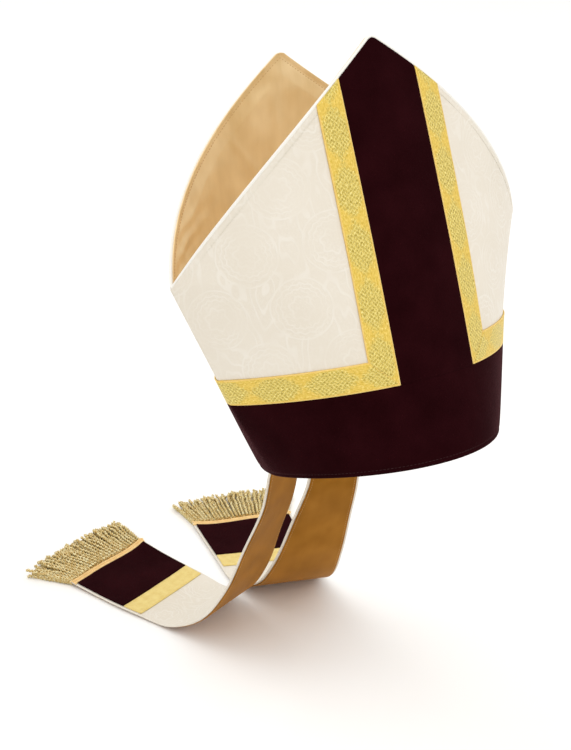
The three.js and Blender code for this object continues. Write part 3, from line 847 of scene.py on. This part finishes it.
# %% Tituli
trims = {"front": [], "back": []}
for side, name in SIDES:
    bottom = CIRCULUS_HEIGHT + 0.2 * MM
    rows = panel_rows(side, bottom)
    reach = np.maximum(np.minimum(TITULUS_HALF_WIDTH, panel_edge(side, rows)), 1 * MM)
    across = reach[:, None] * np.sin(np.linspace(-1, 1, 29) * math.pi / 2)[None, :]
    level = np.broadcast_to(rows[:, None], across.shape)
    flat = np.stack([across, level], -1)
    inside = np.minimum(reach[:, None] - np.abs(across), np.maximum(level - bottom, 0))
    wander = smooth_noise(flat, 25 * MM, 23.0 + side) * 0.2 * MM
    outer = crown_place(side, across, level, rolled(inside) + wander * np.clip(inside / (8 * MM), 0, 1))
    inner = crown_place(side, across, level, UNDERSIDE)
    titulus = cloth_mesh(name + "_titulus_velvet", outer, inner, flat, velvet)
    trims[name].append(belongs(titulus, "maroon_velvet", name + "_titulus"))

# %% [markdown]
# ## Galloon
# Each length of galloon runs down beside the titulus, folds over itself at the corner (a mitre
# fold, as on a picture frame) and runs along the circulus to the side seam. One mesh does it: its
# stations turn through the fold, and the pattern's coordinates change there from "down the
# ribbon" to "along the ribbon", so that the lattice meets at the diagonal as cut ribbon does.

# %% Galloons
GALLOON_LOW = CIRCULUS_HEIGHT + 0.2 * MM
GALLOON_TOP = CIRCULUS_HEIGHT + GALLOON_WIDTH
GALLOON_INNER = TITULUS_HALF_WIDTH + 0.2 * MM
GALLOON_OUTER = TITULUS_HALF_WIDTH + GALLOON_WIDTH
RIBBON_COLUMNS = 13
CORNER_STATION = 60


def galloon_stations(side):
    """Pairs of (across, height) on the inner and the outer selvedge, from the top to the seam."""
    down = 1 - (1 - np.linspace(0, 1, CORNER_STATION + 1)) ** 1.15
    out = np.linspace(0, 1, CORNER_STATION + 1)[1:] ** 1.1
    selvedges = []
    for across, height in ((GALLOON_INNER, GALLOON_LOW), (GALLOON_OUTER, GALLOON_TOP)):
        top, end = edge_height(side, across), float(panel_edge(side, height))
        upright = np.stack([np.full(down.shape, across), top * (1 - down) + height * down], -1)
        level = np.stack([across + (end - across) * out, np.full(out.shape, height)], -1)
        selvedges.append(np.concatenate([upright, level]))
    return selvedges


ribbon_lines = {}
for side, name in SIDES:
    inner_line, outer_line = galloon_stations(side)
    share = np.sin(np.linspace(-1, 1, RIBBON_COLUMNS) * math.pi / 2) / 2 + 0.5
    from_edge = np.minimum(share, 1 - share) * GALLOON_WIDTH
    share = share[None, :, None]
    ribbon = inner_line[:, None, :] * (1 - share) + outer_line[:, None, :] * share
    down = np.stack([-ribbon[..., 1], ribbon[..., 0] - GALLOON_INNER], -1)
    along = np.stack([ribbon[..., 0], ribbon[..., 1] - GALLOON_LOW], -1)
    flats = [down] * CORNER_STATION + [along] * (len(ribbon) - 1 - CORNER_STATION)
    past = np.arange(len(ribbon)) - CORNER_STATION
    fold = np.exp(-((past / 0.8) ** 2)) * 0.35 - np.exp(-(((past - 2) / 1.2) ** 2)) * 0.25
    lift = rolled(from_edge, roll=1.2 * MM)[None, :] - fold[:, None] * MM
    for hand, hand_name in HANDS:
        across, level = hand * ribbon[..., 0], ribbon[..., 1]
        outer = crown_place(side, across, level, lift)
        inner = crown_place(side, across, level, UNDERSIDE)
        piece_name = f"{name}_{hand_name}_galloon"
        made = cloth_mesh(piece_name + "_ribbon", outer, inner, flats, galloon)
        trims[name].append(belongs(made, "gold_galloon", piece_name))
    ribbon_lines[side] = (inner_line, outer_line)

# %% [markdown]
# ## Sewing, with Geometry Nodes
# Hundreds of stitches follow seams that curve in space: just what Geometry Nodes are for. The
# tree takes a line of points that know which way the cloth faces. It spaces points along the
# line, puts one small arched stitch at each, turned along the seam and up from the cloth, and a
# slant turns it askew. Slanted and close together, the same stitches make a braid or a cord.


# %% Geometry node helpers
def new_geometry_tree(name, sizes):
    """A geometry tree with a Geometry input, the named sizes, and a Material."""
    tree = bpy.data.node_groups.new(name, "GeometryNodeTree")
    tree.interface.new_socket("Geometry", in_out="INPUT", socket_type="NodeSocketGeometry")
    for size, kind in sizes.items():
        tree.interface.new_socket(size, in_out="INPUT", socket_type="NodeSocket" + kind)
    tree.interface.new_socket("Material", in_out="INPUT", socket_type="NodeSocketMaterial")
    tree.interface.new_socket("Geometry", in_out="OUTPUT", socket_type="NodeSocketGeometry")
    return tree, tree.nodes.new("NodeGroupInput").outputs, tree.nodes.new("NodeGroupOutput")


def end_tree(tree, given, result, geometry):
    real = add_node(tree, "GeometryNodeRealizeInstances", {0: geometry})
    smooth = add_node(tree, "GeometryNodeSetShadeSmooth", {0: real.outputs[0]})
    painted = add_node(tree, "GeometryNodeSetMaterial", {0: smooth.outputs[0], "Material": given["Material"]})
    plug(tree, result.inputs[0], painted.outputs[0])


def even_curve(tree, mesh_lines, step):
    """A curve along a mesh's lines, with points a step apart."""
    path = add_node(tree, "GeometryNodeMeshToCurve", {0: mesh_lines})
    inputs = {"Curve": path.outputs[0], "Length": step}
    return add_node(tree, "GeometryNodeResampleCurve", inputs, mode="LENGTH").outputs[0]


def stored_vector(tree, name):
    kind = "GeometryNodeInputNamedAttribute"
    return add_node(tree, kind, {"Name": name}, data_type="FLOAT_VECTOR").outputs[0]


def sweep(tree, path, section):
    """A closed tube along a path."""
    inputs = {"Curve": path, "Profile Curve": section, "Fill Caps": True}
    return add_node(tree, "GeometryNodeCurveToMesh", inputs).outputs[0]


def grow(name, source, tree, material, **sizes):
    """Runs a tree on a source mesh and keeps the result as a plain piece."""
    carrier = bpy.data.objects.new(name + "_source", source)
    scene.collection.objects.link(carrier)
    modifier = carrier.modifiers.new("tree", "NODES")
    modifier.node_group = tree
    sizes["Material"] = material
    for item in tree.interface.items_tree:
        if item.in_out == "INPUT" and item.name in sizes:
            modifier[item.identifier] = sizes[item.name]
    depsgraph = bpy.context.evaluated_depsgraph_get()
    mesh = bpy.data.meshes.new_from_object(carrier.evaluated_get(depsgraph), depsgraph=depsgraph)
    bpy.data.objects.remove(carrier)
    mesh.name = name
    return finished(name, mesh, material)


def line_mesh(name, runs, **attributes):
    """Lines of points as a mesh with no faces. Each attribute is a list with one array a run."""
    mesh = bpy.data.meshes.new(name)
    points, edges = [], []
    for run in runs:
        edges += [(len(points) + i, len(points) + i + 1) for i in range(len(run) - 1)]
        points += np.asarray(run).tolist()
    mesh.from_pydata(points, edges, [])
    for key, values in attributes.items():
        stored = mesh.attributes.new(key, "FLOAT_VECTOR", "POINT")
        stored.data.foreach_set("vector", np.concatenate(values).astype(np.float32).ravel())
    return mesh


# %% The stitching tree
stitching, given, result = new_geometry_tree(
    "stitching",
    {size: "Float" for size in ("Pitch", "Length", "Radius", "Slant", "Waver")} | {"Seed": "Int"},
)
spaced = even_curve(stitching, given["Geometry"], given["Pitch"])
along_seam = add_node(stitching, "GeometryNodeInputTangent")
facing = stored_vector(stitching, "outward")
lengthwise = add_node(
    stitching, "FunctionNodeAlignRotationToVector", {"Vector": along_seam.outputs[0]}, axis="X"
)
upright = add_node(
    stitching,
    "FunctionNodeAlignRotationToVector",
    {"Rotation": lengthwise.outputs[0], "Vector": facing},
    axis="Z",
    pivot_axis="X",
)
waver = Number(stitching, given["Waver"])
random_turn = add_node(stitching, "FunctionNodeRandomValue", data_type="FLOAT")
plug(stitching, random_turn.inputs[2], waver * -1.0)
plug(stitching, random_turn.inputs[3], waver)
plug(stitching, random_turn.inputs["Seed"], given["Seed"])
askew = Number(stitching, random_turn.outputs[1]) + given["Slant"]
slanted = add_node(stitching, "FunctionNodeAxisAngleToRotation", {"Axis": (0, 0, 1), "Angle": askew})
turned = add_node(
    stitching,
    "FunctionNodeRotateRotation",
    {"Rotation": upright.outputs[0], "Rotate By": slanted.outputs[0]},
    rotation_space="LOCAL",
)
half_length = Number(stitching, given["Length"]) * 0.5
radius = Number(stitching, given["Radius"])
ends = {
    name: add_node(stitching, "ShaderNodeCombineXYZ", {"X": x, "Z": radius * z}).outputs[0]
    for name, x, z in (("Start", half_length * -1.0, -1.1), ("Middle", 0.0, 1.9), ("End", half_length, -1.1))
}
arch = add_node(stitching, "GeometryNodeCurveQuadraticBezier", {"Resolution": 4} | ends)
round_thread = add_node(stitching, "GeometryNodeCurvePrimitiveCircle", {"Resolution": 5, "Radius": radius})
stitch = sweep(stitching, arch.outputs[0], round_thread.outputs[0])
sewn = add_node(
    stitching,
    "GeometryNodeInstanceOnPoints",
    {"Points": spaced, "Instance": stitch, "Rotation": turned.outputs[0]},
)
end_tree(stitching, given, result, sewn.outputs[0])
print("stitching tree:", len(stitching.nodes), "nodes")


# %% Seams on the crown
STITCH_SEED = 7
SEAM_START = 6 * MM


def crown_seam(side, across, height, lift):
    """Points of a seam on the crown, and which way the cloth faces at each."""
    across, height = np.broadcast_arrays(np.asarray(across, float), np.asarray(height, float))
    low = crown_place(side, across, height, lift)
    high = crown_place(side, across, height, lift + 1 * MM)
    return low, (high - low) / MM


def sew(name, seams, material, slot, owners, pitch=2.6, length=2.2, radius=0.17, slant=0.0, waver=0.08):
    """Stitches along seams, added to the pieces that go with a sheet. Sizes are in millimetres."""
    source = line_mesh(name, [s[0] for s in seams], outward=[s[1] for s in seams])
    sizes = {"Pitch": pitch * MM, "Length": length * MM, "Radius": radius * MM}
    made = grow(name, source, stitching, material, **sizes, Slant=slant, Waver=waver, Seed=STITCH_SEED)
    owners.append(belongs(made, slot))


def slanted_line(side, inset):
    """The line an inset inside both slanted edges, from one tip over the peak to the other."""
    slope = float(panel_edge(side, TIP_HEIGHT)) / PEAK_RISE
    shift = inset * math.hypot(1, slope)
    top = edge_height(side, shift + 0.5 * MM)
    rise = np.linspace(TIP_HEIGHT + SEAM_START, top, 90)
    reach = panel_edge(side, rise) - shift
    return np.concatenate([-reach, reach[::-1]]), np.concatenate([rise, rise[::-1]])


lining_sewing = {"front": [], "back": []}
for side, name in SIDES:
    across, rise = slanted_line(side, STITCH_INSET)
    on_damask = np.abs(across) > GALLOON_OUTER + 1 * MM
    for hand, mask in (("right", across < 0), ("left", across > 0)):
        keep = on_damask & mask
        seam = crown_seam(side, across[keep], rise[keep], -0.15 * MM)
        sew(f"{name}_{hand}_edge_stitches", [seam], ivory_thread, "ivory_piping", trims[name])
    across, rise = slanted_line(side, LINING_STITCH_INSET)
    seam = crown_seam(side, across, rise, -PANEL_THICK - LINING_THICK + 0.05 * MM)
    seam = (seam[0], -seam[1])
    sew(f"{name}_lining_stitches", [seam], ochre_thread, "gold_satin", lining_sewing[name], 2.9, 2.1, 0.24)

# %% Hem and galloon sewing
hem = []
for side in (FRONT, BACK):
    across = np.linspace(-1, 1, 200) * float(panel_edge(side, HEM_HEIGHT)) * -side
    hem.append(crown_seam(side, across, HEM_HEIGHT, TRIM_THICK - 0.45 * MM))
circulus_sewing = []
sew("circulus_hem_stitches", hem, maroon_thread, "maroon_velvet", circulus_sewing, pitch=2.8, length=2.3)

for side, name in SIDES:
    inner_line, outer_line = ribbon_lines[side]
    cords, fold_seams = [], []
    for hand in (-1, 1):
        for line, inward in ((inner_line, 0.4 * MM), (outer_line, -0.4 * MM)):
            line = line.copy()
            line[: CORNER_STATION + 1, 0] += inward
            line[CORNER_STATION:, 1] += inward
            cords.append(crown_seam(side, hand * line[2:-3, 0], line[2:-3, 1], 0.9 * MM))
        part = np.linspace(0.06, 0.94, 12)[:, None]
        fold_line = inner_line[CORNER_STATION] * (1 - part) + outer_line[CORNER_STATION] * part
        fold_seams.append(crown_seam(side, hand * fold_line[:, 0], fold_line[:, 1], 0.95 * MM))
    ribbon_sewing = (gold_thread, "gold_galloon", trims[name])
    sew(f"{name}_galloon_selvedges", cords, *ribbon_sewing, 0.95, 1.5, 0.3, 0.5, 0.05)
    sew(f"{name}_galloon_fold_stitches", fold_seams, *ribbon_sewing, 1.9, 1.6, 0.16)

# %% [markdown]
# ## Piping
# A thin cloth-covered cord is sewn along the slanted edges, over each peak. It is a path with a
# round section, which is what Curve to Mesh makes. With a lobed section and a twist it makes rope
# later on.

# %% Cord tree and piping
PIPING_RADIUS = 1.3 * MM
cord_tree, given, result = new_geometry_tree("cloth cord", {"Radius": "Float", "Step": "Float"})
path = even_curve(cord_tree, given["Geometry"], given["Step"])
round_cord = add_node(
    cord_tree, "GeometryNodeCurvePrimitiveCircle", {"Resolution": 10, "Radius": given["Radius"]}
)
end_tree(cord_tree, given, result, sweep(cord_tree, path, round_cord.outputs[0]))

for side, name in SIDES:
    centre, start = peak_rounding(side)
    rise = np.linspace(TIP_HEIGHT + 0.8 * MM, start, 120)
    turn = np.linspace(math.asin(min((start - centre) / PEAK_ROUNDING, 1)), math.pi / 2, 8)[1:]
    reach = np.concatenate([panel_edge(side, rise), PEAK_ROUNDING * np.cos(turn)])
    rise = np.concatenate([rise, centre + PEAK_ROUNDING * np.sin(turn)])
    across, height = np.concatenate([-reach, reach[-2::-1]]), np.concatenate([rise, rise[-2::-1]])
    edge = crown_place(side, across, height, -PANEL_THICK / 2)
    facing = crown_seam(side, across, height, 0)[1]
    outward = np.cross(np.gradient(edge, axis=0), facing) * side
    outward /= np.linalg.norm(outward, axis=1, keepdims=True)
    if outward[len(outward) // 2, 2] < 0:
        outward *= -1
    source = line_mesh(name + "_piping", [edge + outward * 0.9 * MM])
    piping = grow(name + "_piping_cord", source, cord_tree, piping_cloth, Radius=PIPING_RADIUS, Step=2 * MM)
    trims[name].append(belongs(piping, "ivory_piping", name + "_piping"))

# %% [markdown]
# ## Lappets
# A lappet is a long strip that starts inside the back of the rim, hangs, bends in one smooth
# curve onto the surface and trails there. Cloth simulation could drape it, but its course is
# known, so a smooth curve through the same stations as the frame's is surer and always gives the
# same result. The face cloth is turned round the edges and shows beside the lining and the bands.

# %% Lappet course
LAPPET_YAW = math.radians(20)
SURFACE_BELOW = 250 * MM
LAPPET_FACE_THICK = 1.5 * MM
TURNED_EDGE = 2 * MM
GOLD_BAND_LENGTH = 21 * MM
VELVET_BAND_LENGTH = 63 * MM
BRAID_LENGTH = 7 * MM
END_WAVE = 2.6 * MM
LAPPET_COLUMNS = 20
# distance aside, behind and below the origin, and half the width, in millimetres
LAPPET_STATIONS = [
    (26.3, 85.6, 9, 20.5),
    (26.3, 81.8, 27, 20.8),
    (26.3, 89.5, 49, 21),
    (27.3, 98.5, 88, 22.5),
    (30.0, 119, 134, 26.5),
    (32.5, 142, 184, 31),
    (37.5, 171, 224.5, 36),
    (44.5, 209, 247, 42),
    (50.5, 234, 250, 44.5),
    (59.5, 264, 250, 46.5),
    (75.5, 325, 250, 49.5),
    (77.5, 332, 250, 49.8),
]
STEPS_A_STATION = 60


def smooth_through(points):
    """A centripetal Catmull-Rom curve, which passes through every point without loops."""
    padded = np.concatenate([[2 * points[0] - points[1]], points, [2 * points[-1] - points[-2]]])
    made = []
    for i in range(len(points) - 1):
        p = padded[i : i + 4, :]
        gaps = [np.linalg.norm(p[k + 1, :3] - p[k, :3]) ** 0.5 for k in range(3)]
        a, b = (
            gaps[1]
            * (
                (p[k] - p[k - 1]) / gaps[k - 1]
                - (p[k + 1] - p[k - 1]) / (gaps[k - 1] + gaps[k])
                + (p[k + 1] - p[k]) / gaps[k]
            )
            for k in (1, 2)
        )
        t = np.linspace(0, 1, STEPS_A_STATION, endpoint=False)[:, None]
        squared, cubed = -3 * p[1] + 3 * p[2] - 2 * a - b, 2 * p[1] - 2 * p[2] + a + b
        made.append(p[1] + a * t + squared * t**2 + cubed * t**3)
    return np.concatenate(made + [points[-1:]])


stations = np.array(LAPPET_STATIONS) * MM
course = smooth_through(stations[:, :3] * (-1, 1, -1))
course[:, 2] = np.maximum(course[:, 2], -SURFACE_BELOW)
course_half = np.interp(
    np.arange(len(course)) / STEPS_A_STATION, np.arange(len(stations)), stations[:, 3]
)
course_run = np.concatenate([[0], np.cumsum(np.linalg.norm(np.diff(course, axis=0), axis=1))])
LAPPET_LENGTH = float(course_run[-1])
LAPPET_ACROSS = np.array((math.cos(LAPPET_YAW), math.sin(LAPPET_YAW), 0))
print("lappet length", round(LAPPET_LENGTH, 4))


def lappet_place(along, reach, lift, inset=0.0):
    """A point on the right lappet: along from the top, reach -1 to 1 across, lift off its underside."""
    along, reach, lift = np.broadcast_arrays(*(np.asarray(v, float) for v in (along, reach, lift)))
    near_end = np.clip((along - LAPPET_LENGTH + 40 * MM) / (30 * MM), 0, 1)
    along = along - END_WAVE * (0.5 + 0.5 * np.sin(reach * 3.4 - 0.5)) * near_end
    half = np.interp(along, course_run, course_half) - inset

    def centre(run):
        return np.stack([np.interp(run, course_run, course[:, i]) for i in range(3)], -1)

    step = 3 * MM
    low, high = np.clip(along - step, 0, LAPPET_LENGTH), np.clip(along + step, 0, LAPPET_LENGTH)
    heading = centre(high) - centre(low)
    normal = np.cross(LAPPET_ACROSS, heading)
    normal /= np.linalg.norm(normal, axis=-1, keepdims=True)
    point = centre(along) + LAPPET_ACROSS * (reach * half)[..., None]
    curl = 1.6 * MM * np.abs(reach) ** 3 * np.clip((along - 300 * MM) / (60 * MM), 0, 1)
    curl *= 1 + 0.6 * np.sin(along / (21 * MM))
    return point + normal * (lift + curl)[..., None]


def lappet_piece(name, hand, start, end, material, inner, outer, inset, waves=0.0, step=2.4 * MM):
    """A strip of the lappet from start to end along it, between two lifts off its underside."""
    along = np.linspace(start, end, max(int((end - start) / step), 3) + 1)[:, None]
    reach = np.sin(np.linspace(-1, 1, LAPPET_COLUMNS + 1) * math.pi / 2)[None, :]
    along, reach = np.broadcast_arrays(along, reach)
    flat = np.stack([reach * (np.interp(along, course_run, course_half) - inset), along], -1)
    raised = smooth_noise(flat, 9 * MM, 37.0) * waves if waves else 0
    mirror = np.array((-hand, 1, 1))
    top = lappet_place(along, reach, outer + raised, inset) * mirror
    low = lappet_place(along, reach, inner, inset) * mirror
    return cloth_mesh(name, top, low, flat, material)


# %% Lappet pieces
FACE_LOW = LINING_THICK + 0.1 * MM
FACE_TOP = FACE_LOW + LAPPET_FACE_THICK
BAND_LOW = FACE_TOP + 0.06 * MM
BAND_TOP = BAND_LOW + TRIM_THICK
VELVET_END = LAPPET_LENGTH - BRAID_LENGTH
VELVET_START = VELVET_END - VELVET_BAND_LENGTH
GOLD_START = VELVET_START - GOLD_BAND_LENGTH
BUTT = 0.1 * MM  # between two bands that meet
# how the name ends, the finish, and what lappet_piece needs from start onwards
LAPPET_PARTS = {
    "lining": ("cloth", "gold_satin", 0, LAPPET_LENGTH - 1 * MM, shaded_lappet_satin, 0, LINING_THICK, TURNED_EDGE),
    "face": ("cloth", "ivory_damask", 0, LAPPET_LENGTH, damask, FACE_LOW, FACE_TOP, 0),
    "gold_band": (
        "cloth", "plain_gold_cloth", GOLD_START, VELVET_START - BUTT,
        gold_cloth, BAND_LOW, BAND_TOP - 0.3 * MM, TURNED_EDGE,
    ),
    "velvet_band": (
        "cloth", "maroon_velvet", VELVET_START, VELVET_END - BUTT,
        velvet, BAND_LOW, BAND_TOP, TURNED_EDGE, 0.25 * MM,
    ),
    "braid": (
        "ground", "gold_braid", VELVET_END, LAPPET_LENGTH,
        braid_thread, BAND_LOW, BAND_LOW + 0.7 * MM, 0, 0.0, 1 * MM,
    ),
}

lappets = {}
for hand, hand_name in HANDS:
    name = hand_name + "_lappet"
    made = {}
    for part, (ending, slot, *shape) in LAPPET_PARTS.items():
        piece = lappet_piece(f"{name}_{part}_{ending}", hand, *shape)
        made[part] = belongs(piece, slot, f"{name}_{part}")
    on_face = [made[part] for part in ("gold_band", "velvet_band", "braid")]
    lappets[hand_name] = {"face": made["face"], "lining": made["lining"], "on_face": on_face}

# %% [markdown]
# The braid above the fringe is plaited: two rows of slanted threads lean against each other. They
# are the stitching tree again, thick and close, once with a slant to the left and once to the
# right. Ordinary stitches hold the bands and the lining's edges.


# %% Lappet sewing
def lappet_seam(along, reach, lift, hand, inset=0.0, under=False):
    low = lappet_place(along, reach, lift, inset)
    high = lappet_place(along, reach, np.asarray(lift) + 1 * MM, inset)
    mirror = np.array((-hand, 1, 1))
    return low * mirror, (high - low) / MM * mirror * (-1 if under else 1)


for hand, hand_name in HANDS:
    name, owners = hand_name + "_lappet", lappets[hand_name]["on_face"]
    reach = np.linspace(-0.99, 0.99, 80)
    for row, place, slant in ((1, 0.27, 0.75), (2, 0.73, -0.75)):
        seam = lappet_seam(VELVET_END + BRAID_LENGTH * place, reach, BAND_LOW + 0.75 * MM, hand)
        braided = (braid_thread, "gold_braid", owners)
        sew(f"{name}_braid_row_{row}", [seam], *braided, 1.35, 4.6, 0.62, slant, 0.1)
    lines = [
        lappet_seam(along, reach, BAND_TOP - 0.3 * MM, hand, TURNED_EDGE)
        for along in (GOLD_START + 1.3 * MM, VELVET_START - 1.3 * MM)
    ]
    sew(name + "_band_stitches", lines, gold_thread, "plain_gold_cloth", owners, pitch=2.4, length=1.9)
    run = np.linspace(6 * MM, LAPPET_LENGTH - 8 * MM, 220)
    sides = [lappet_seam(run, s, -0.02 * MM, hand, TURNED_EDGE + 1.6 * MM, under=True) for s in (-1, 1)]
    sewing = lappets[hand_name]["on_lining"] = []
    sew(name + "_lining_stitches", sides, ochre_thread, "gold_satin", sewing, 3.0, 2.2, 0.14)

# %% [markdown]
# ## Bullion fringe
# Bullion is thread wound so tightly that it twists back on itself into a little rope. The tree
# starts from points along the lappet's end that know their heading. It puts a line at each, bends
# it at random, and sweeps a three-lobed section along it while turning: that is a three-ply rope.
# The section stores 1 on its lobes and 0 between them, which the bullion's colour reads to paint
# shade between the lobes and a highlight on them. The headings gather into tufts, and the lengths
# differ, so the free end is wavy.

# %% Fringe tree
FRINGE_LENGTH = 44 * MM
FRINGE_SPREAD = 14 * MM
fringe_sizes = {"Radius": "Float", "Turns": "Float", "Steps": "Int", "Looseness": "Float", "Seed": "Int"}
fringe_tree, given, result = new_geometry_tree("bullion fringe", fringe_sizes)
heading = stored_vector(fringe_tree, "heading")
loose = add_node(
    fringe_tree,
    "FunctionNodeRandomValue",
    {0: (-1, -1, -0.6), 1: (1, 1, 0.6), "Seed": given["Seed"]},
    data_type="FLOAT_VECTOR",
)
marked = add_node(
    fringe_tree,
    "GeometryNodeStoreNamedAttribute",
    {"Geometry": given["Geometry"], "Name": "stray", "Value": loose.outputs[0]},
    data_type="FLOAT_VECTOR",
    domain="POINT",
)
roots = add_node(fringe_tree, "GeometryNodeMeshToPoints", {"Mesh": marked.outputs[0]})
straight = add_node(fringe_tree, "GeometryNodeCurvePrimitiveLine", {"End": (1, 0, 0)})
stepped = add_node(
    fringe_tree, "GeometryNodeResampleCurve", {"Curve": straight.outputs[0], "Count": given["Steps"]}
)
aimed = add_node(fringe_tree, "FunctionNodeAlignRotationToVector", {"Vector": heading}, axis="X")
size = vector_math(fringe_tree, "LENGTH", heading)
hung = add_node(
    fringe_tree,
    "GeometryNodeInstanceOnPoints",
    {"Points": roots.outputs[0], "Instance": stepped.outputs[0], "Rotation": aimed.outputs[0], "Scale": size},
)
strands = add_node(fringe_tree, "GeometryNodeRealizeInstances", {0: hung.outputs[0]})
part = Number(fringe_tree, add_node(fringe_tree, "GeometryNodeSplineParameter").outputs["Factor"])
wandered = vector_math(
    fringe_tree, "SCALE", stored_vector(fringe_tree, "stray"), part * part * given["Looseness"]
)
ripple = add_node(fringe_tree, "ShaderNodeTexNoise", {"Scale": 90.0, "Detail": 1.0})
centred = vector_math(fringe_tree, "SUBTRACT", ripple.outputs["Color"], (0.5, 0.5, 0.5))
rippled = vector_math(fringe_tree, "SCALE", centred, part * (8 * MM))
shift = vector_math(fringe_tree, "ADD", wandered, rippled)
moved = add_node(fringe_tree, "GeometryNodeSetPosition", {"Geometry": strands.outputs[0], "Offset": shift})
tilt = part * (Number(fringe_tree, given["Turns"]) * TAU)
twisted = add_node(fringe_tree, "GeometryNodeSetCurveTilt", {"Curve": moved.outputs[0], "Tilt": tilt})
radius = Number(fringe_tree, given["Radius"])
lobes = add_node(
    fringe_tree, "GeometryNodeCurveStar", {"Points": 3, "Inner Radius": radius * 0.42, "Outer Radius": radius}
)
crested = add_node(
    fringe_tree,
    "GeometryNodeStoreNamedAttribute",
    {"Geometry": lobes.outputs[0], "Name": "crest", "Value": lobes.outputs["Outer Points"]},
    data_type="FLOAT",
    domain="POINT",
)
end_tree(fringe_tree, given, result, sweep(fringe_tree, twisted.outputs[0], crested.outputs[0]))
print("fringe tree:", len(fringe_tree.nodes), "nodes")

# %% Fringes
STRAND_RADIUS = 1.75 * MM
# for each layer: strands, and the heights of their roots and tips off the surface in millimetres
LAYERS = ((30, 2.2, 1.5), (29, 3.9, 3.7), (27, 5.2, 6.1))
TUFTS = 6
away = np.array((-LAPPET_ACROSS[1], LAPPET_ACROSS[0], 0))
draw = np.random.default_rng(21)
for hand, hand_name in HANDS:
    mirror = np.array((-hand, 1, 1))
    roots, headings = [], []
    for layer, (count, root_height, tip_height) in enumerate(LAYERS):
        reach = (np.arange(count) + 0.5) / count * 2 - 1 + draw.normal(0, 0.006, count)
        reach = np.clip(reach, -0.985, 0.985)
        tuft = np.round((reach + 0.1 * layer) * TUFTS) / TUFTS - 0.1 * layer
        target = reach + (tuft - reach) * draw.uniform(0.0, 0.35, count)
        length = FRINGE_LENGTH * (1 + 0.05 * np.cos(tuft * 11) + draw.normal(0, 0.03, count) - 0.04 * layer)
        length += 5 * MM * (1 - reach**2)
        root = lappet_place(LAPPET_LENGTH - 0.5 * MM, reach, 0)
        root[:, 2] = -SURFACE_BELOW + root_height * MM
        side_shift = target * FRINGE_SPREAD + (target - reach) * 48 * MM
        end = away * length[:, None] + LAPPET_ACROSS * side_shift[:, None]
        end[:, 2] = (tip_height - root_height) * MM + draw.uniform(-0.3, 0.6, count) * MM
        roots.append(root * mirror)
        headings.append(end * mirror)
    source = bpy.data.meshes.new(hand_name + "_fringe_roots")
    source.from_pydata(np.concatenate(roots).tolist(), [], [])
    stored = source.attributes.new("heading", "FLOAT_VECTOR", "POINT")
    stored.data.foreach_set("vector", np.concatenate(headings).astype(np.float32).ravel())
    name = hand_name + "_lappet_fringe"
    sizes = {"Radius": STRAND_RADIUS, "Turns": 4.0, "Steps": 60, "Looseness": 2.6 * MM, "Seed": 5}
    fringe = grow(name + "_strands", source, fringe_tree, bullion, **sizes)
    for vertex in fringe.data.vertices:  # nothing sinks into the surface
        vertex.co.z = max(vertex.co.z, -SURFACE_BELOW + 0.05 * MM)
    lappets[hand_name]["on_face"].append(belongs(fringe, "gold_bullion", name))

# %% [markdown]
# ## The cloth's cut size
# The flat size each panel was cut to is worked out here. The panels and the lappets aren't
# rectangles; the panels' flat area is added up row by row.


def area_of(rows, half_widths):
    return float(np.trapz(2 * half_widths, rows))


for side, name in SIDES:
    rows = panel_rows(side, 0)
    half = panel_edge(side, rows)
    sizes = {"flat": (2 * float(half.max()), float(rows[-1])), "area": area_of(rows, half)}
    for piece, under, others in (
        (panels[name], "circulus", trims[name]),
        (linings[name], name + "_panel", lining_sewing[name]),
    ):
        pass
girth = 2 * float(panel_edge(FRONT, CIRCULUS_HEIGHT) + panel_edge(BACK, CIRCULUS_HEIGHT))

# %% [markdown]
# ## Floor and light
# The hat is shown over a plain pale floor under soft studio light. A bright, even sky does most of
# the work, as a white tent does in a studio, and four large, weak lamps give the cloth a direction.

# %% Floor
FLOOR_HALF = 15
floor_mesh = bpy.data.meshes.new("floor")
level = -SURFACE_BELOW - 0.2 * MM
corners = [(x * FLOOR_HALF, y * FLOOR_HALF, level) for x, y in ((-1, -1), (1, -1), (1, 1), (-1, 1))]
floor_mesh.from_pydata(corners, [], [(0, 1, 2, 3)])
paper, tree, shader = cloth_material("floor_paper", Roughness=0.9, Specular_IOR_Level=0.1)
place = coordinates(tree, "Object")
mottled = mask_of(tree, uneven, place, Size=400 * MM, Detail=2.0)
pale = blend_colors(tree, mottled, (0.955, 0.95, 0.94), (0.97, 0.965, 0.955))
plug(tree, shader.inputs["Base Color"], pale)
floor = finished("floor", floor_mesh, paper)

# %% Light
LIGHT_AWAY = 4.0
scene.view_settings.view_transform = "Standard"
sky = bpy.data.worlds.new("studio")
scene.world = sky
sky.use_nodes = True
background = sky.node_tree.nodes["Background"].inputs
background["Color"].default_value = (1.0, 0.99, 0.975, 1)
background["Strength"].default_value = 0.88


def soft_light(name, round_angle, above_angle, size, watts):
    lamp = bpy.data.lights.new(name, "AREA")
    lamp.size, lamp.energy = size, watts
    made = bpy.data.objects.new(name, lamp)
    scene.collection.objects.link(made)
    towards = direction(math.radians(round_angle), math.radians(above_angle))
    made.location = towards * LIGHT_AWAY
    made.rotation_euler = towards.to_track_quat("Z", "Y").to_euler()


soft_light("key", 30, 43, 2.2, 23)
soft_light("fill", -80, 50, 2.6, 8)
soft_light("top", -10, 80, 5.0, 28)
soft_light("rear", -150, 62, 2.6, 30)
